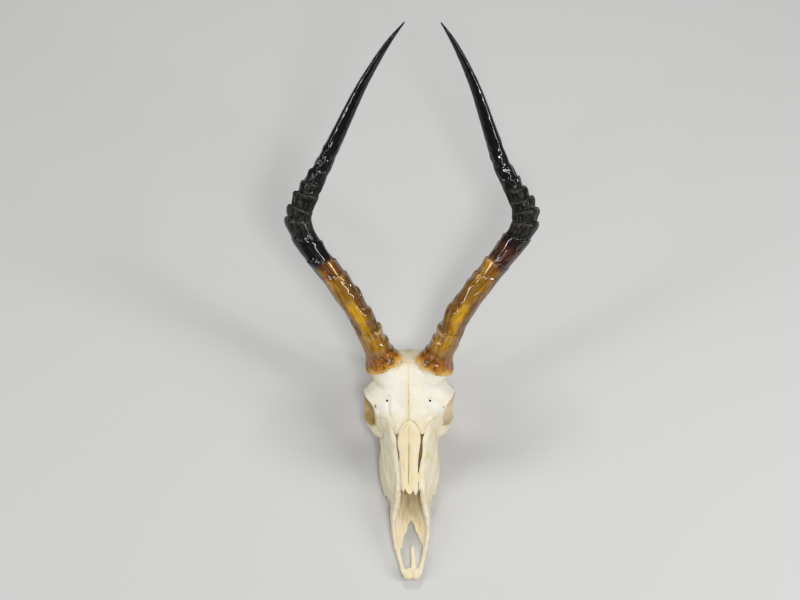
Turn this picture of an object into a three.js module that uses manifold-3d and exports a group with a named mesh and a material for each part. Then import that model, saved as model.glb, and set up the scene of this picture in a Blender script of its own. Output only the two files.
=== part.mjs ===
// Antelope skull with its two lyre-shaped horns, as cleaned for display: an adult male impala
// without its lower jaw. Units are millimetres and +Z is up. The skull stands on its cheek
// teeth and on the two processes beside the occiput, nose towards -Y, horns rising behind.
// While it is built, x = 0 is the skull's midline, y = 0 the front of the muzzle and z = 0
// the surface it stands on. The finished group is then moved so that its origin is under
// the middle of its bounding box.
import * as THREE from "three";
import { mergeVertices } from "three/addons/utils/BufferGeometryUtils.js";
import Module from "manifold-3d";

const manifold = await Module();
manifold.setup();

const sides = { left: -1, right: 1 };
const fitGap = 0.3; // clearance between a tooth or horn and the bone around it
const faceTilt = THREE.MathUtils.degToRad(64); // the forehead's outward normal, above the horizon
const faceNormal = new THREE.Vector3(0, -Math.cos(faceTilt), Math.sin(faceTilt));
const faceUp = new THREE.Vector3(0, Math.sin(faceTilt), Math.cos(faceTilt));
const snoutLean = { by: 2.6, ahead: 150 }; // the snout's front stands this far to the right, from that y on

// How finely each curved piece is faceted, as [steps along it, steps around it].
const facets = {
  skull: [25, 18],
  passage: [9, 10],
  nasals: [10, 8],
  rim: [17, 6],
  boss: [4, 10],
  ball: [11, 7],
};
const limbFacets = (stops) => [Math.ceil(1.2 * stops.length), 6];

const boneMaterial = new THREE.MeshStandardMaterial({ color: 0xefe6cc, roughness: 0.6, metalness: 0 });
const toothMaterial = new THREE.MeshStandardMaterial({ color: 0xe6dcc0, roughness: 0.35, metalness: 0 });
const hornMaterial = new THREE.MeshStandardMaterial({ color: 0x5a3a16, roughness: 0.2, metalness: 0 });

// ---------- shape helpers ----------

// The same geometry with shared vertices and with its faces pointing out.
function closed(geometry) {
  geometry.deleteAttribute("normal");
  geometry.deleteAttribute("uv");
  const merged = mergeVertices(geometry, 1e-4);
  const at = merged.getAttribute("position");
  const index = merged.index.array;
  const [a, b, c] = [new THREE.Vector3(), new THREE.Vector3(), new THREE.Vector3()];
  let volume = 0;
  for (let i = 0; i < index.length; i += 3) {
    a.fromBufferAttribute(at, index[i]);
    b.fromBufferAttribute(at, index[i + 1]);
    c.fromBufferAttribute(at, index[i + 2]);
    volume += a.dot(b.cross(c));
  }
  if (volume < 0) {
    for (let i = 0; i < index.length; i += 3) {
      [index[i + 1], index[i + 2]] = [index[i + 2], index[i + 1]];
    }
  }
  return merged;
}

function solidOf(geometry) {
  const whole = closed(geometry);
  return new manifold.Manifold(
    new manifold.Mesh({
      numProp: 3,
      vertProperties: new Float32Array(whole.getAttribute("position").array),
      triVerts: new Uint32Array(whole.index.array),
    }),
  );
}

function geometryOf(solid) {
  const mesh = solid.getMesh();
  const geometry = new THREE.BufferGeometry();
  geometry.setAttribute("position", new THREE.BufferAttribute(mesh.vertProperties, 3));
  geometry.setIndex(new THREE.BufferAttribute(mesh.triVerts, 1));
  geometry.computeVertexNormals();
  return geometry;
}

// A closed skin over rings of equally many points, with a fan over each end.
function skin(rings) {
  const around = rings[0].length;
  const points = rings.flat();
  const index = [];
  for (let i = 0; i + 1 < rings.length; i++) {
    for (let j = 0; j < around; j++) {
      const [a, b] = [i * around + j, i * around + ((j + 1) % around)];
      index.push(a, b, a + around, b, b + around, a + around);
    }
  }
  for (const [ring, start, turn] of [[rings[0], 0, 1], [rings.at(-1), (rings.length - 1) * around, -1]]) {
    const middle = ring.reduce((sum, p) => sum.add(p), new THREE.Vector3()).divideScalar(around);
    points.push(middle);
    for (let j = 0; j < around; j++) {
      const [a, b] = [start + j, start + ((j + 1) % around)];
      index.push(points.length - 1, ...(turn > 0 ? [b, a] : [a, b]));
    }
  }
  const geometry = new THREE.BufferGeometry().setFromPoints(points);
  geometry.setIndex(index);
  return closed(geometry);
}

// A symmetrical body along y. Each station is [y, ...half outline from top to bottom as x, z pairs].
function hull(stations, [along, around]) {
  const halves = stations.map(([y, ...xz]) =>
    Array.from({ length: xz.length / 2 }, (_, k) => new THREE.Vector3(xz[2 * k], y, xz[2 * k + 1])),
  );
  const rails = halves[0].map((_, k) => new THREE.CatmullRomCurve3(halves.map((half) => half[k])));
  const rings = [];
  for (let i = 0; i <= along; i++) {
    const half = rails.map((rail) => rail.getPoint(i / along));
    const other = half.slice(1, -1).reverse().map((p) => new THREE.Vector3(-p.x, p.y, p.z));
    const outline = new THREE.CatmullRomCurve3([...half, ...other], true);
    rings.push(Array.from({ length: around }, (_, j) => outline.getPoint(j / around)));
  }
  return skin(rings);
}

// A tapering limb with oval sections. Each stop is [x, y, z, half width across X, half height].
function limb(stops, side = 1, [along, around] = limbFacets(stops)) {
  const path = new THREE.CatmullRomCurve3(stops.map(([x, y, z]) => new THREE.Vector3(side * x, y, z)));
  const sizes = new THREE.SplineCurve(stops.map((stop) => new THREE.Vector2(stop[3], stop[4])));
  const rings = [];
  for (let i = 0; i <= along; i++) {
    const t = i / along;
    const tangent = path.getTangent(t);
    const across = new THREE.Vector3(1, 0, 0).addScaledVector(tangent, -tangent.x).normalize();
    const up = new THREE.Vector3().crossVectors(tangent, across);
    const size = sizes.getPoint(t);
    rings.push(
      Array.from({ length: around }, (_, j) => {
        const angle = (2 * Math.PI * j) / around;
        return path
          .getPoint(t)
          .addScaledVector(across, size.x * Math.cos(angle))
          .addScaledVector(up, size.y * Math.sin(angle));
      }),
    );
  }
  return skin(rings);
}

function blob({ at: [x, y, z], size }, side = 1) {
  return new THREE.SphereGeometry(1, ...facets.ball).scale(...size).translate(side * x, y, z);
}

// An upright prism over an outline in x and y.
function prism(outline, low, high) {
  const shape = new THREE.Shape(outline.map(([x, y]) => new THREE.Vector2(x, y)));
  return new THREE.ExtrudeGeometry(shape, { depth: high - low, bevelEnabled: false }).translate(0, 0, low);
}

// The same geometry with its front leaned across as the snout is.
function snoutLeaned(geometry) {
  const at = geometry.getAttribute("position");
  for (let k = 0; k < at.count; k += 1) {
    at.setX(k, at.getX(k) + snoutLean.by * Math.max(0, 1 - at.getY(k) / snoutLean.ahead));
  }
  return geometry;
}

// ---------- horns ----------

// Each horn as seen square-on to the face: every stop is its middle, outwards from the midline
// and up the face from the muzzle, then its half width. The two horns grew a little differently.
const hornFront = {
  left: [
    [30, 261.5, 23.5],
    [37, 277, 17],
    [43, 290, 15.5],
    [56.5, 316, 14.5],
    [83.5, 358, 14.5],
    [116, 400, 14],
    [125, 414.5, 14.5],
    [129, 429, 15],
    [127, 442, 14.5],
    [121, 455, 13.5],
    [98, 497, 9.5],
    [85, 523, 8.5],
    [50, 589, 5.5],
    [20, 631, 2.5],
    [6, 646, 0.7],
  ],
  right: [
    [29.5, 259.5, 24],
    [36.5, 276.5, 17],
    [43.5, 290, 16],
    [55, 316, 15],
    [84, 358, 14.5],
    [117, 399.5, 14.5],
    [128, 413.5, 14.5],
    [134, 428, 15.5],
    [133, 443, 15],
    [127, 455, 13],
    [105, 496, 9.5],
    [95, 524, 8.5],
    [70, 589, 5.5],
    [45, 632, 2.5],
    [34, 646, 0.7],
  ],
};
// How it leans out of the face's plane: [length along the horn in that view, degrees].
const hornLean = [
  [0, 30],
  [60, 32],
  [105, 18],
  [160, 7],
  [200, 3],
  [240, 8],
  [300, 21],
  [370, 31],
  [450, 39],
];
const hornSink = 10; // how far behind that plane the middle of its foot is
const hornDepthRatio = { base: 0.84, shaft: 1.12, from: 30 }; // front-to-back thickness over width
const hornAround = 12;
// Where each growth ring ends in a lip, as a length along the horn from its base.
const ringLips = {
  left: [17, 30, 53, 84, 111, 137, 159, 189, 212, 223, 237, 251, 267, 284, 300],
  right: [19, 36, 57, 86, 102, 124, 139, 158, 194, 212, 223, 234, 248, 262, 278, 294],
};
const lipDrop = 1.2; // length over which a lip falls back
const lipFloor = 0.15; // share of a lip's height on the side away from it
const smoothStep = 16; // between rings of facets past the last lip
const burrLengths = [0, 5, 11];
const tipLength = 4; // of the last facets
const seatReach = 0.13; // share of the horn that its seat in the bone is cut from
// Along the horn: [length, how far the lips stand out, their direction in degrees from the
// front of the horn, positive outwards]
const ringTable = [
  [0, 1.2, -55],
  [60, 1.5, -60],
  [120, 1.9, -55],
  [165, 1.7, -15],
  [195, 2.1, 35],
  [220, 2.8, 68],
  [262, 2.3, 62],
  [300, 0.7, 50],
  [330, 0, 45],
];

function alongTable(table, length) {
  const next = table.findIndex((row) => row[0] > length);
  if (next === 0) return table[0];
  if (next < 0) return table.at(-1);
  const [before, after] = [table[next - 1], table[next]];
  const share = (length - before[0]) / (after[0] - before[0]);
  return before.map((value, k) => value + share * (after[k] - value));
}

// How much of the lip's height there is at this length: it swells slowly, then drops at once.
function ringRise(length, lips) {
  const next = lips.findIndex((lip) => lip >= length);
  if (next < 0) return 0;
  const start = next > 0 ? lips[next - 1] : 0;
  const share = (length - start) / (lips[next] - start);
  return share * share;
}

// The horn's middle in space as x, y and z, and its half width there.
function hornStops(front) {
  let length = 0;
  let out = -hornSink;
  return front.map(([across, up, halfWidth], k) => {
    if (k > 0) {
      const step = Math.hypot(across - front[k - 1][0], up - front[k - 1][1]);
      const [, lean] = alongTable(hornLean, length + step / 2);
      out += step * Math.tan(THREE.MathUtils.degToRad(lean));
      length += step;
    }
    const place = faceUp.clone().multiplyScalar(up).addScaledVector(faceNormal, out);
    return [across, place.y, place.z, halfWidth];
  });
}

function horn(name, { grow = 0, extend = 0, reach = 1 } = {}) {
  const side = sides[name];
  const stops = hornStops(hornFront[name]);
  const lips = ringLips[name];
  const path = new THREE.CatmullRomCurve3(stops.map(([x, y, z]) => new THREE.Vector3(side * x, y, z)));
  path.arcLengthDivisions = 800;
  const full = path.getLength();
  const widths = new THREE.SplineCurve(stops.map((stop, k) => new THREE.Vector2(k, stop[3])));
  const lengths = [...burrLengths, ...lips.flatMap((lip) => [lip, lip + lipDrop])];
  for (let s = lips.at(-1) + smoothStep; s < full - tipLength; s += smoothStep) {
    lengths.push(s);
  }
  lengths.push(full - tipLength, full);
  const rings = [];
  for (const s of lengths.filter((length) => length <= reach * full)) {
    const t = path.getUtoTmapping(s / full);
    const tangent = path.getTangent(t);
    const front = faceNormal.clone().addScaledVector(tangent, -tangent.dot(faceNormal)).normalize();
    const outward = new THREE.Vector3().crossVectors(front, tangent).multiplyScalar(side).normalize();
    if (outward.x * side < 0) outward.negate();
    const width = widths.getPoint(t).y + grow;
    const { base, shaft, from } = hornDepthRatio;
    const depth = width * (base + (shaft - base) * Math.min(1, s / from));
    const [, lipHeight, lipTurn] = alongTable(ringTable, s);
    const centre = path.getPoint(t);
    if (s === 0) centre.addScaledVector(tangent, -extend);
    rings.push(
      Array.from({ length: hornAround }, (_, j) => {
        const angle = (2 * Math.PI * j) / hornAround;
        const off = Math.cos(angle - THREE.MathUtils.degToRad(lipTurn));
        const rise = lipHeight * ringRise(s, lips) * Math.max(lipFloor, off);
        return centre
          .clone()
          .addScaledVector(front, (depth + rise) * Math.cos(angle))
          .addScaledVector(outward, (width + rise) * Math.sin(angle));
      }),
    );
  }
  return skin(rings);
}

// ---------- teeth ----------

// Upper cheek teeth from front to back: [name, middle y, middle x, length, width, two lobes?]
const teeth = [
  ["premolar_2", 99.5, 21.8, 7.0, 6.4, false],
  ["premolar_3", 107.8, 22.8, 8.4, 8.0, false],
  ["premolar_4", 117.0, 24.2, 8.8, 9.4, false],
  ["molar_1", 128.6, 25.2, 13.0, 11.6, true],
  ["molar_2", 143.6, 25.8, 15.6, 12.6, true],
  ["molar_3", 160.2, 25.2, 16.2, 12.2, true],
];
const toothHeight = 19; // crown and the part held in the socket
const toothGap = 0.35; // between neighbours
const squareness = 0.5; // 0 is an oval outline, 1 a square one
const waistDepth = 0.14; // how far the groove between two lobes goes in
const toothFit = 0.96; // the outline bulges past its oval by this much

// A tooth's outline round its own middle, with its lobes bulging in and out.
function toothOutline(length, width, twoLobes, grow = 0) {
  const steps = twoLobes ? 12 : 8;
  return Array.from({ length: steps }, (_, k) => {
    const angle = (2 * Math.PI * k) / steps;
    const [ax, ay] = [Math.cos(angle), Math.sin(angle)];
    const corner = Math.max(Math.abs(ax), Math.abs(ay)) ** -squareness;
    const waist = twoLobes ? 1 - waistDepth * ax ** 4 : 1;
    return [(width / 2 + grow) * ax * corner * waist, (length / 2 + grow) * ay * corner];
  });
}

function tooth(side, [, y, x, length, width, twoLobes], grow = 0) {
  const outline = toothOutline(length * toothFit - toothGap, width * toothFit, twoLobes, grow);
  return prism(outline, 0, toothHeight + grow).translate(side * x, y, 0);
}

// ---------- skull ----------

// The skull's outline from muzzle to nape: y, then top middle, top edge, brow, cheek, lower
// cheek, tooth ridge and bottom middle as x, z pairs.
const skullStations = [
  [36, 0, 21, 12, 22, 17, 21, 20, 19, 19.5, 16.5, 15, 15.3, 0, 16.2],
  [48, 0, 26, 12, 27, 18, 26, 21.5, 22, 21, 17, 16, 15, 0, 16.5],
  [62, 0, 33, 12, 33, 19, 32, 22.5, 27, 22.5, 20, 17.5, 15.5, 0, 17.5],
  [78, 0, 42, 13, 41, 19.5, 38, 23.5, 30, 24.5, 22, 21, 14.5, 0, 18],
  [92, 0, 49.5, 13, 48.5, 18.5, 43, 22.6, 33, 23.8, 24, 22.5, 13.8, 0, 19],
  [110, 0, 57, 13, 56.5, 20.5, 49, 28, 36, 31.6, 25, 28.5, 13, 0, 20],
  [125, 0, 63.5, 13, 62.5, 22.5, 54, 31, 38, 35.4, 26, 32, 13, 0, 21],
  [140, 0, 70.5, 14, 69.5, 24.5, 60, 33, 41, 36, 27, 33.5, 13, 0, 22],
  [155, 0, 78, 15, 77, 26.5, 67, 33.5, 46, 35, 30, 33, 14, 0, 22],
  [168, 0, 85, 17, 84, 29.5, 75, 35, 56, 34, 36, 31, 16, 0, 22],
  [179, 0, 91, 20, 90, 35, 82, 36, 66, 31, 44, 24, 23, 0, 23],
  [188, 0, 95.5, 22, 94.5, 40, 87, 31, 70, 25, 48, 17, 30, 0, 28],
  [196, 0, 99, 24, 98, 45.2, 90, 30, 76, 24, 50, 15, 33, 0, 31],
  [205, 0, 102.5, 25, 102, 49, 90, 30, 77, 25, 52, 15, 34, 0, 32],
  [215, 0, 107, 26, 107, 52, 86.5, 33, 76, 29, 54, 16, 34, 0, 32],
  [225, 0, 110.5, 24, 111, 38.5, 100, 36, 80, 32, 56, 18, 34, 0, 32],
  [240, 0, 109.5, 20, 108, 34, 98, 37, 76, 33, 51, 19, 33, 0, 31],
  [251, 0, 104, 18, 102, 30, 91, 35, 71, 31, 49, 20, 32, 0, 30],
  [260, 0, 95.5, 16, 93.5, 27, 83, 32, 66, 28, 46, 18, 32, 0, 30],
  [266.5, 0, 86, 13, 84, 22, 75, 27, 61, 24, 45, 15, 35, 0, 34],
];

// The nasal passage, in the same form with five outline points.
const nasalStations = [
  [28, 0, 60, 15, 58, 17, 27, 13, 19.7, 0, 19.7],
  [48, 0, 60, 17, 58, 18.6, 28, 15, 19.8, 0, 20],
  [66, 0, 62, 17.5, 60, 19.2, 32, 16, 20.5, 0, 21],
  [80, 0, 64, 15, 62, 18.5, 36, 17, 22, 0, 22.5],
  [94, 0, 62, 12, 58, 17, 38, 17, 23, 0, 24],
  [106, 0, 52.5, 9, 52, 17, 38, 18, 24, 0, 25],
  [125, 0, 60, 9.5, 59, 18, 42, 19, 26, 0, 27],
  [145, 0, 69, 10, 68, 17, 46, 17, 30, 0, 31],
  [160, 0, 74, 8, 73, 12, 54, 10, 38, 0, 36],
];

// The two nasal bones as one raised plate: [y, half width, top z]
const nasalPlate = [
  [91, 6.5, 55.8],
  [94.5, 9.4, 57.2],
  [104, 10.8, 60.2],
  [121, 11, 64.9],
  [138, 12.4, 71.4],
  [152, 13.6, 78.8],
  [160, 11.5, 83.4],
  [166, 6.5, 86.6],
  [169.5, 2, 88],
];
const nasalThickness = 4.2;

function nasalBones() {
  const stations = nasalPlate.map(([y, half, top]) => [
    y, 0, top, 0.55 * half, top - 0.3, half, top - 1.8,
    0.9 * half, top - nasalThickness + 0.3, 0, top - nasalThickness,
  ]);
  return hull(stations, facets.nasals);
}

// The bony ring round the eye, starting and ending inside the cheek.
const orbitRim = [
  [34, 170, 66, 3.2, 3.4],
  [37, 176, 71, 2.8, 3],
  [37.6, 182.5, 80, 2.6, 3],
  [40.2, 188, 86, 2.8, 3],
  [45.5, 196, 89.6, 2.8, 3],
  [49.8, 203.5, 88.6, 3, 3],
  [51.4, 213.5, 84.6, 3.2, 3.2],
  [51.8, 218, 71, 3.2, 4],
  [50.8, 213, 58.5, 3.6, 4],
  [50, 203, 50.5, 3.4, 4],
  [50.6, 191, 47, 2.6, 4.2],
  [46.6, 183, 49, 3, 4.6],
  [41, 175, 55, 3.6, 5],
  [33, 167, 58, 4, 5.5],
];

// Half of each paired piece, as limbs: [x, y, z, half width, half height] per stop.
const pairedLimbs = {
  cheekArch: [
    [51.6, 208, 54, 2.2, 4], [50.5, 220, 52, 2.2, 4.2], [46, 232, 52, 2.4, 4], [39, 242, 53, 3.4, 4],
    [30, 250, 54, 4, 5],
  ],
  muzzleSide: [
    [4, 3.5, 10.6, 3.2, 2.8], [8.6, 8, 11, 3.2, 3], [12.4, 20, 13, 2.6, 3.2], [16, 34, 16.2, 2.9, 4],
    [19, 48, 20.5, 2.8, 5], [20.4, 62, 26.5, 3, 5.8], [19, 74, 33, 3.6, 5.4], [16.6, 85, 41.5, 3.8, 4.6],
    [14.4, 97, 49.8, 4, 4], [14.4, 108, 55, 3.6, 3], [15.6, 119, 59, 2, 2],
  ],
  muzzleTip: [
    [4.5, 0.6, 10.4, 3, 1.6], [4.6, 3.5, 10.6, 5.1, 3.2], [5, 9, 11, 5.3, 3.4], [6.6, 15, 11.8, 3, 2.2],
  ],
  palateWing: [
    [12, 166, 22, 2.4, 7], [11.5, 180, 25, 1.9, 9.5], [10.5, 194, 28, 1.8, 8], [10, 207, 33, 2, 5],
  ],
  napeProcess: [
    [25, 252, 48, 6, 7], [26.5, 259, 32, 5, 6], [26, 265, 14, 3.8, 4.6], [25, 268, 0, 2.8, 3.4],
  ],
};

// The eye socket's bowl, as the ellipsoid it fills and the one hollowed out of it.
const socketWall = { at: [37, 199.5, 66.5], size: [18, 23, 24] };
const socketHollow = { at: [47, 198, 68], size: [20, 16.5, 18.5] };
const hornBossStops = [
  [20, 206, 94, 12, 8], [24, 220, 99, 16, 12], [28.5, 232, 103.5, 18, 15.5], [31.4, 241, 108, 18.5, 17],
];
const palateSpur = [
  [2.4, 6, 10.6, 3, 2], [2.5, 16, 11.4, 3, 2], [2.3, 31, 12.8, 2.9, 1.9], [1.9, 42.5, 14, 2, 1.4],
];
const brokenSpur = [[2.6, 5, 10.6, 2.4, 2], [2.9, 16.5, 11.6, 2, 1.8]];
const palateNotch = [
  [0.8, 71.5], [-3.3, 66], [-4.5, 59.5], [-8.2, 52.5], [-9.6, 45], [-9.8, 39.5], [-14, 36.5], [-14, 20],
  [14, 20], [17, 36], [14.3, 41], [10.8, 46], [9.6, 52.5], [6.1, 59], [3.9, 66],
];
// The gap beside each nasal bone; the right one is wider.
const fissures = {
  left: [[17.4, 160.5], [16.6, 152], [15.4, 140], [13.6, 127.5], [12.4, 128], [13.4, 140], [14.9, 152]],
  right: [
    [16.4, 160.5], [16, 152], [15.2, 141], [13.8, 131], [11.6, 117.5], [10.6, 119], [11.4, 132],
    [12.6, 145], [14.6, 153],
  ],
};
const browHole = { x: 26, y: 194, z: 96, radius: 1.3, depth: 12, facets: 6 };
const condyle = { at: [13.5, 271, 31], size: [9, 9.5, 14] }; // where the neck joined
const earBone = { at: [18, 236, 24], size: [8, 12, 11] };
const throat = { at: [0, 190, 25], size: [7.5, 22, 9] }; // the way from the nose to the throat
const brainSpace = { at: [0, 235, 67], size: [24, 26, 25] };
const napeHole = { y: 270, z: 41, radius: 9.5, height: 0.85, depth: 60, facets: 12 };
const [notchLow, notchHigh] = [5, 60];
const [fissureLow, fissureHigh] = [58, 100];
const footTrim = { outline: [[-60, 240], [60, 240], [60, 290], [-60, 290]], depth: 20 };

function makeSkull() {
  let bone = solidOf(hull(skullStations, facets.skull));
  const add = (geometry) => {
    bone = bone.add(solidOf(geometry));
  };
  const cut = (geometry) => {
    bone = bone.subtract(solidOf(geometry));
  };
  cut(hull(nasalStations, facets.passage));
  cut(prism(palateNotch, notchLow, notchHigh));
  add(nasalBones());
  for (const [name, side] of Object.entries(sides)) {
    add(blob(socketWall, side));
    cut(blob(socketHollow, side));
    add(limb(orbitRim, side, facets.rim));
    for (const stops of Object.values(pairedLimbs)) {
      add(limb(stops, side));
    }
    add(limb(hornBossStops, side, facets.boss));
    add(blob(condyle, side));
    add(blob(earBone, side));
    cut(prism(fissures[name].map(([x, y]) => [side * x, y]), fissureLow, fissureHigh));
    cut(
      new THREE.CylinderGeometry(browHole.radius, browHole.radius, browHole.depth, browHole.facets)
        .rotateX(Math.PI / 2)
        .translate(side * browHole.x, browHole.y, browHole.z),
    );
    for (const row of teeth) {
      cut(tooth(side, row, fitGap));
    }
    cut(horn(name, { grow: fitGap, extend: fitGap, reach: seatReach }));
  }
  add(limb(palateSpur));
  add(limb(brokenSpur, -1));
  cut(blob(throat));
  cut(blob(brainSpace));
  cut(
    new THREE.CylinderGeometry(napeHole.radius, napeHole.radius, napeHole.depth, napeHole.facets)
      .scale(1, 1, napeHole.height)
      .translate(0, napeHole.y, napeHole.z),
  );
  cut(prism(footTrim.outline, -footTrim.depth, 0)); // the feet stand flat
  return geometryOf(bone);
}

// ---------- assembly ----------

const head = new THREE.Group();

function place(name, geometry, material) {
  const mesh = new THREE.Mesh(geometry, material);
  mesh.name = name;
  head.add(mesh);
}

for (const [name, side] of Object.entries(sides)) {
  place(`horn_${name}`, horn(name), hornMaterial);
  for (const row of teeth) {
    place(`${row[0]}_${name}`, snoutLeaned(tooth(side, row)), toothMaterial);
  }
}
place("skull", snoutLeaned(makeSkull()), boneMaterial);

const box = new THREE.Box3().setFromObject(head);
const middle = box.getCenter(new THREE.Vector3());
head.position.set(-middle.x, -middle.y, -box.min.z);

const antelopeSkull = new THREE.Group();
antelopeSkull.add(head);

export default antelopeSkull;
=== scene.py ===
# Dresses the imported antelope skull: bone, teeth and polished horns.
# While a piece is made, lengths are millimetres in the skull's own frame: x across from the
# midline, y back from the front of the muzzle, z up from the surface that the teeth stand on.
import math

import bmesh
import bpy
import numpy as np
from mathutils import Matrix, Vector, noise
from mathutils.bvhtree import BVHTree


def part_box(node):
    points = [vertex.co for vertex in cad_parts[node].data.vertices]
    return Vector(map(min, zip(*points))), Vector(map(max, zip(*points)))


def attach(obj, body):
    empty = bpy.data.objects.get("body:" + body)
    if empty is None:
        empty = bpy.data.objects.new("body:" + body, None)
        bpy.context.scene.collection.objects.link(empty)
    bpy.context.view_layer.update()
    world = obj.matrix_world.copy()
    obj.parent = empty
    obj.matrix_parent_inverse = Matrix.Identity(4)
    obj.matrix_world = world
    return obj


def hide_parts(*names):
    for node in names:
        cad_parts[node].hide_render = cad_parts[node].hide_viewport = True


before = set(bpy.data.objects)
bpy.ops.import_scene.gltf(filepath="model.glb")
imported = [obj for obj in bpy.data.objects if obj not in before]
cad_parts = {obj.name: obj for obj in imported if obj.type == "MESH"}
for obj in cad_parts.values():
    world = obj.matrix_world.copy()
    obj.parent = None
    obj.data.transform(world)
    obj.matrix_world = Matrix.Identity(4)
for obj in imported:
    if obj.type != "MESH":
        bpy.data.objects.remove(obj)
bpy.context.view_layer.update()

snoutLean = {"by": 2.6, "ahead": 150}  # how far right the snout's front stands, from that y on
molarMiddleY = 143.6  # of the second molars, in the skull's own frame
molarLean = snoutLean["by"] * (1 - molarMiddleY / snoutLean["ahead"])
molars = [Vector(c) for c in (*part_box("molar_2_left"), *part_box("molar_2_right"))]
molarMiddle = 1000 * sum(molars, Vector((0, 0, 0))) / 4
# where the skull's own frame lies in the part's, in millimetres
ownFrame = Vector((molarMiddle.x - molarLean, molarMiddle.y - molarMiddleY, 0))
faceTilt = math.radians(64)  # of the forehead's outward normal, above the horizon
faceNormal = np.array([0, -math.cos(faceTilt), math.sin(faceTilt)])
faceUp = np.array([0, math.sin(faceTilt), math.cos(faceTilt)])
sides = {"left": -1, "right": 1}


def curve(start, end, startSlope, endSlope, t):
    # a smooth way from start to end, with t from 0 to 1
    near = (1 + 2 * t) * (1 - t) ** 2 * start + t * (1 - t) ** 2 * startSlope
    far = t * t * (3 - 2 * t) * end + t * t * (t - 1) * endSlope
    return near + far


def smoothRows(keys, rows, at):
    # smooth curves through rows that stand at keys, read at the places in at
    keys = np.asarray(keys, float)
    rows = np.asarray(rows, float)
    at = np.clip(np.asarray(at, float), keys[0], keys[-1])
    slopes = np.gradient(rows, keys, axis=0)
    k = np.clip(np.searchsorted(keys, at, side="right") - 1, 0, len(keys) - 2)
    span = (keys[k + 1] - keys[k])[:, None]
    t = (at - keys[k])[:, None] / span
    return curve(rows[k], rows[k + 1], span * slopes[k], span * slopes[k + 1], t)


def runLength(points):
    return np.r_[0, np.cumsum(np.linalg.norm(np.diff(points, axis=0), axis=1))]


def unit(vectors):
    return vectors / np.maximum(np.linalg.norm(vectors, axis=-1, keepdims=True), 1e-9)


def ease(low, high, value):
    t = np.clip((value - low) / (high - low), 0, 1)
    return t * t * (3 - 2 * t)


def within(span, value):
    # a span is where something starts, is full, begins to fade and is gone
    start, full, fades, gone = span
    return ease(start, full, value) * ease(gone, fades, value)


def bell(distance, width):
    return np.exp(-((distance / width) ** 2))


def noiseAt(places, size, seed=0):
    shift = Vector((seed * 17.3, seed * 5.1, seed * 9.7))
    return np.array([noise.noise(Vector(p) / size + shift) for p in places])


def placesOf(mesh):
    flat = np.empty(len(mesh.vertices) * 3)
    mesh.vertices.foreach_get("co", flat)
    return flat.reshape(-1, 3)


def normalsOf(mesh):
    flat = np.empty(len(mesh.vertices) * 3)
    mesh.vertex_normals.foreach_get("vector", flat)
    return flat.reshape(-1, 3)


def setPlaces(mesh, places):
    mesh.vertices.foreach_set("co", np.ascontiguousarray(places, float).ravel())
    mesh.update()


def setValues(mesh, domain="POINT", **values):
    for name, value in values.items():
        data = mesh.attributes.new(name, "FLOAT", domain).data
        data.foreach_set("value", np.ascontiguousarray(value, np.float32))


def leaned(mesh):
    # the mesh with its front moved across as the snout is
    places = placesOf(mesh)
    places[:, 0] += snoutLean["by"] * np.clip(1 - places[:, 1] / snoutLean["ahead"], 0, None)
    setPlaces(mesh, places)
    return mesh


def workFrom(*meshes):
    # takes the meshes apart into one editable mesh
    work = bmesh.new()
    for mesh in meshes:
        work.from_mesh(mesh)
        bpy.data.meshes.remove(mesh)
    return work


def meshFrom(work, name, outward=True):
    if outward:
        bmesh.ops.recalc_face_normals(work, faces=work.faces)
    mesh = bpy.data.meshes.new(name)
    work.to_mesh(mesh)
    work.free()
    return mesh


def objectFrom(data, name):
    # an object in the scene that holds a mesh, a light or a camera
    piece = bpy.data.objects.new(name, data)
    bpy.context.scene.collection.objects.link(piece)
    return piece


def applied(piece):
    # the piece's mesh with its modifiers worked out
    state = bpy.context.evaluated_depsgraph_get()
    mesh = bpy.data.meshes.new_from_object(piece.evaluated_get(state))
    piece.modifiers.clear()
    old = piece.data
    piece.data = mesh
    bpy.data.meshes.remove(old)
    return mesh


def cutFrom(mesh, cutters, name):
    # the mesh less the cutters, one after the other
    piece = objectFrom(mesh, name)
    for cutter in cutters:
        tool = objectFrom(cutter, "cutter")
        cut = piece.modifiers.new("cut", "BOOLEAN")
        cut.operation = "DIFFERENCE"
        cut.solver = "MANIFOLD"
        cut.object = tool
        applied(piece)
        bpy.data.objects.remove(tool)
    mesh = piece.data
    bpy.data.objects.remove(piece)
    return mesh


def withoutCrumbs(mesh):
    # the mesh with only its largest connected part
    work = bmesh.new()
    work.from_mesh(mesh)
    seen, largest = set(), []
    for start in work.verts:
        part, waiting = [], [start]
        while waiting:
            vertex = waiting.pop()
            if vertex not in seen:
                seen.add(vertex)
                part.append(vertex)
                waiting += [edge.other_vert(vertex) for edge in vertex.link_edges]
        largest = max(largest, part, key=len)
    crumbs = seen.difference(largest)
    bmesh.ops.delete(work, geom=list(crumbs), context="VERTS")
    work.to_mesh(mesh)
    work.free()
    return mesh


def remeshed(mesh, voxel):
    piece = objectFrom(mesh, "remesh")
    remesh = piece.modifiers.new("remesh", "REMESH")
    remesh.mode = "VOXEL"
    remesh.voxel_size = voxel
    mesh = applied(piece)
    bpy.data.objects.remove(piece)
    return mesh


def relax(mesh, passes, grow=0.5, shrink=-0.53):
    # evens out the surface without shrinking it: each pass goes in, then back out
    places = placesOf(mesh)
    count = len(places)
    edges = np.empty(len(mesh.edges) * 2, np.int32)
    mesh.edges.foreach_get("vertices", edges)
    a, b = edges[0::2], edges[1::2]
    degree = np.maximum(np.bincount(a, minlength=count) + np.bincount(b, minlength=count), 1)
    for share in (grow, shrink) * passes:
        middle = [
            np.bincount(a, places[b, k], count) + np.bincount(b, places[a, k], count) for k in range(3)
        ]
        places = places + share * (np.stack(middle, 1) / degree[:, None] - places)
    setPlaces(mesh, places)


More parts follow.
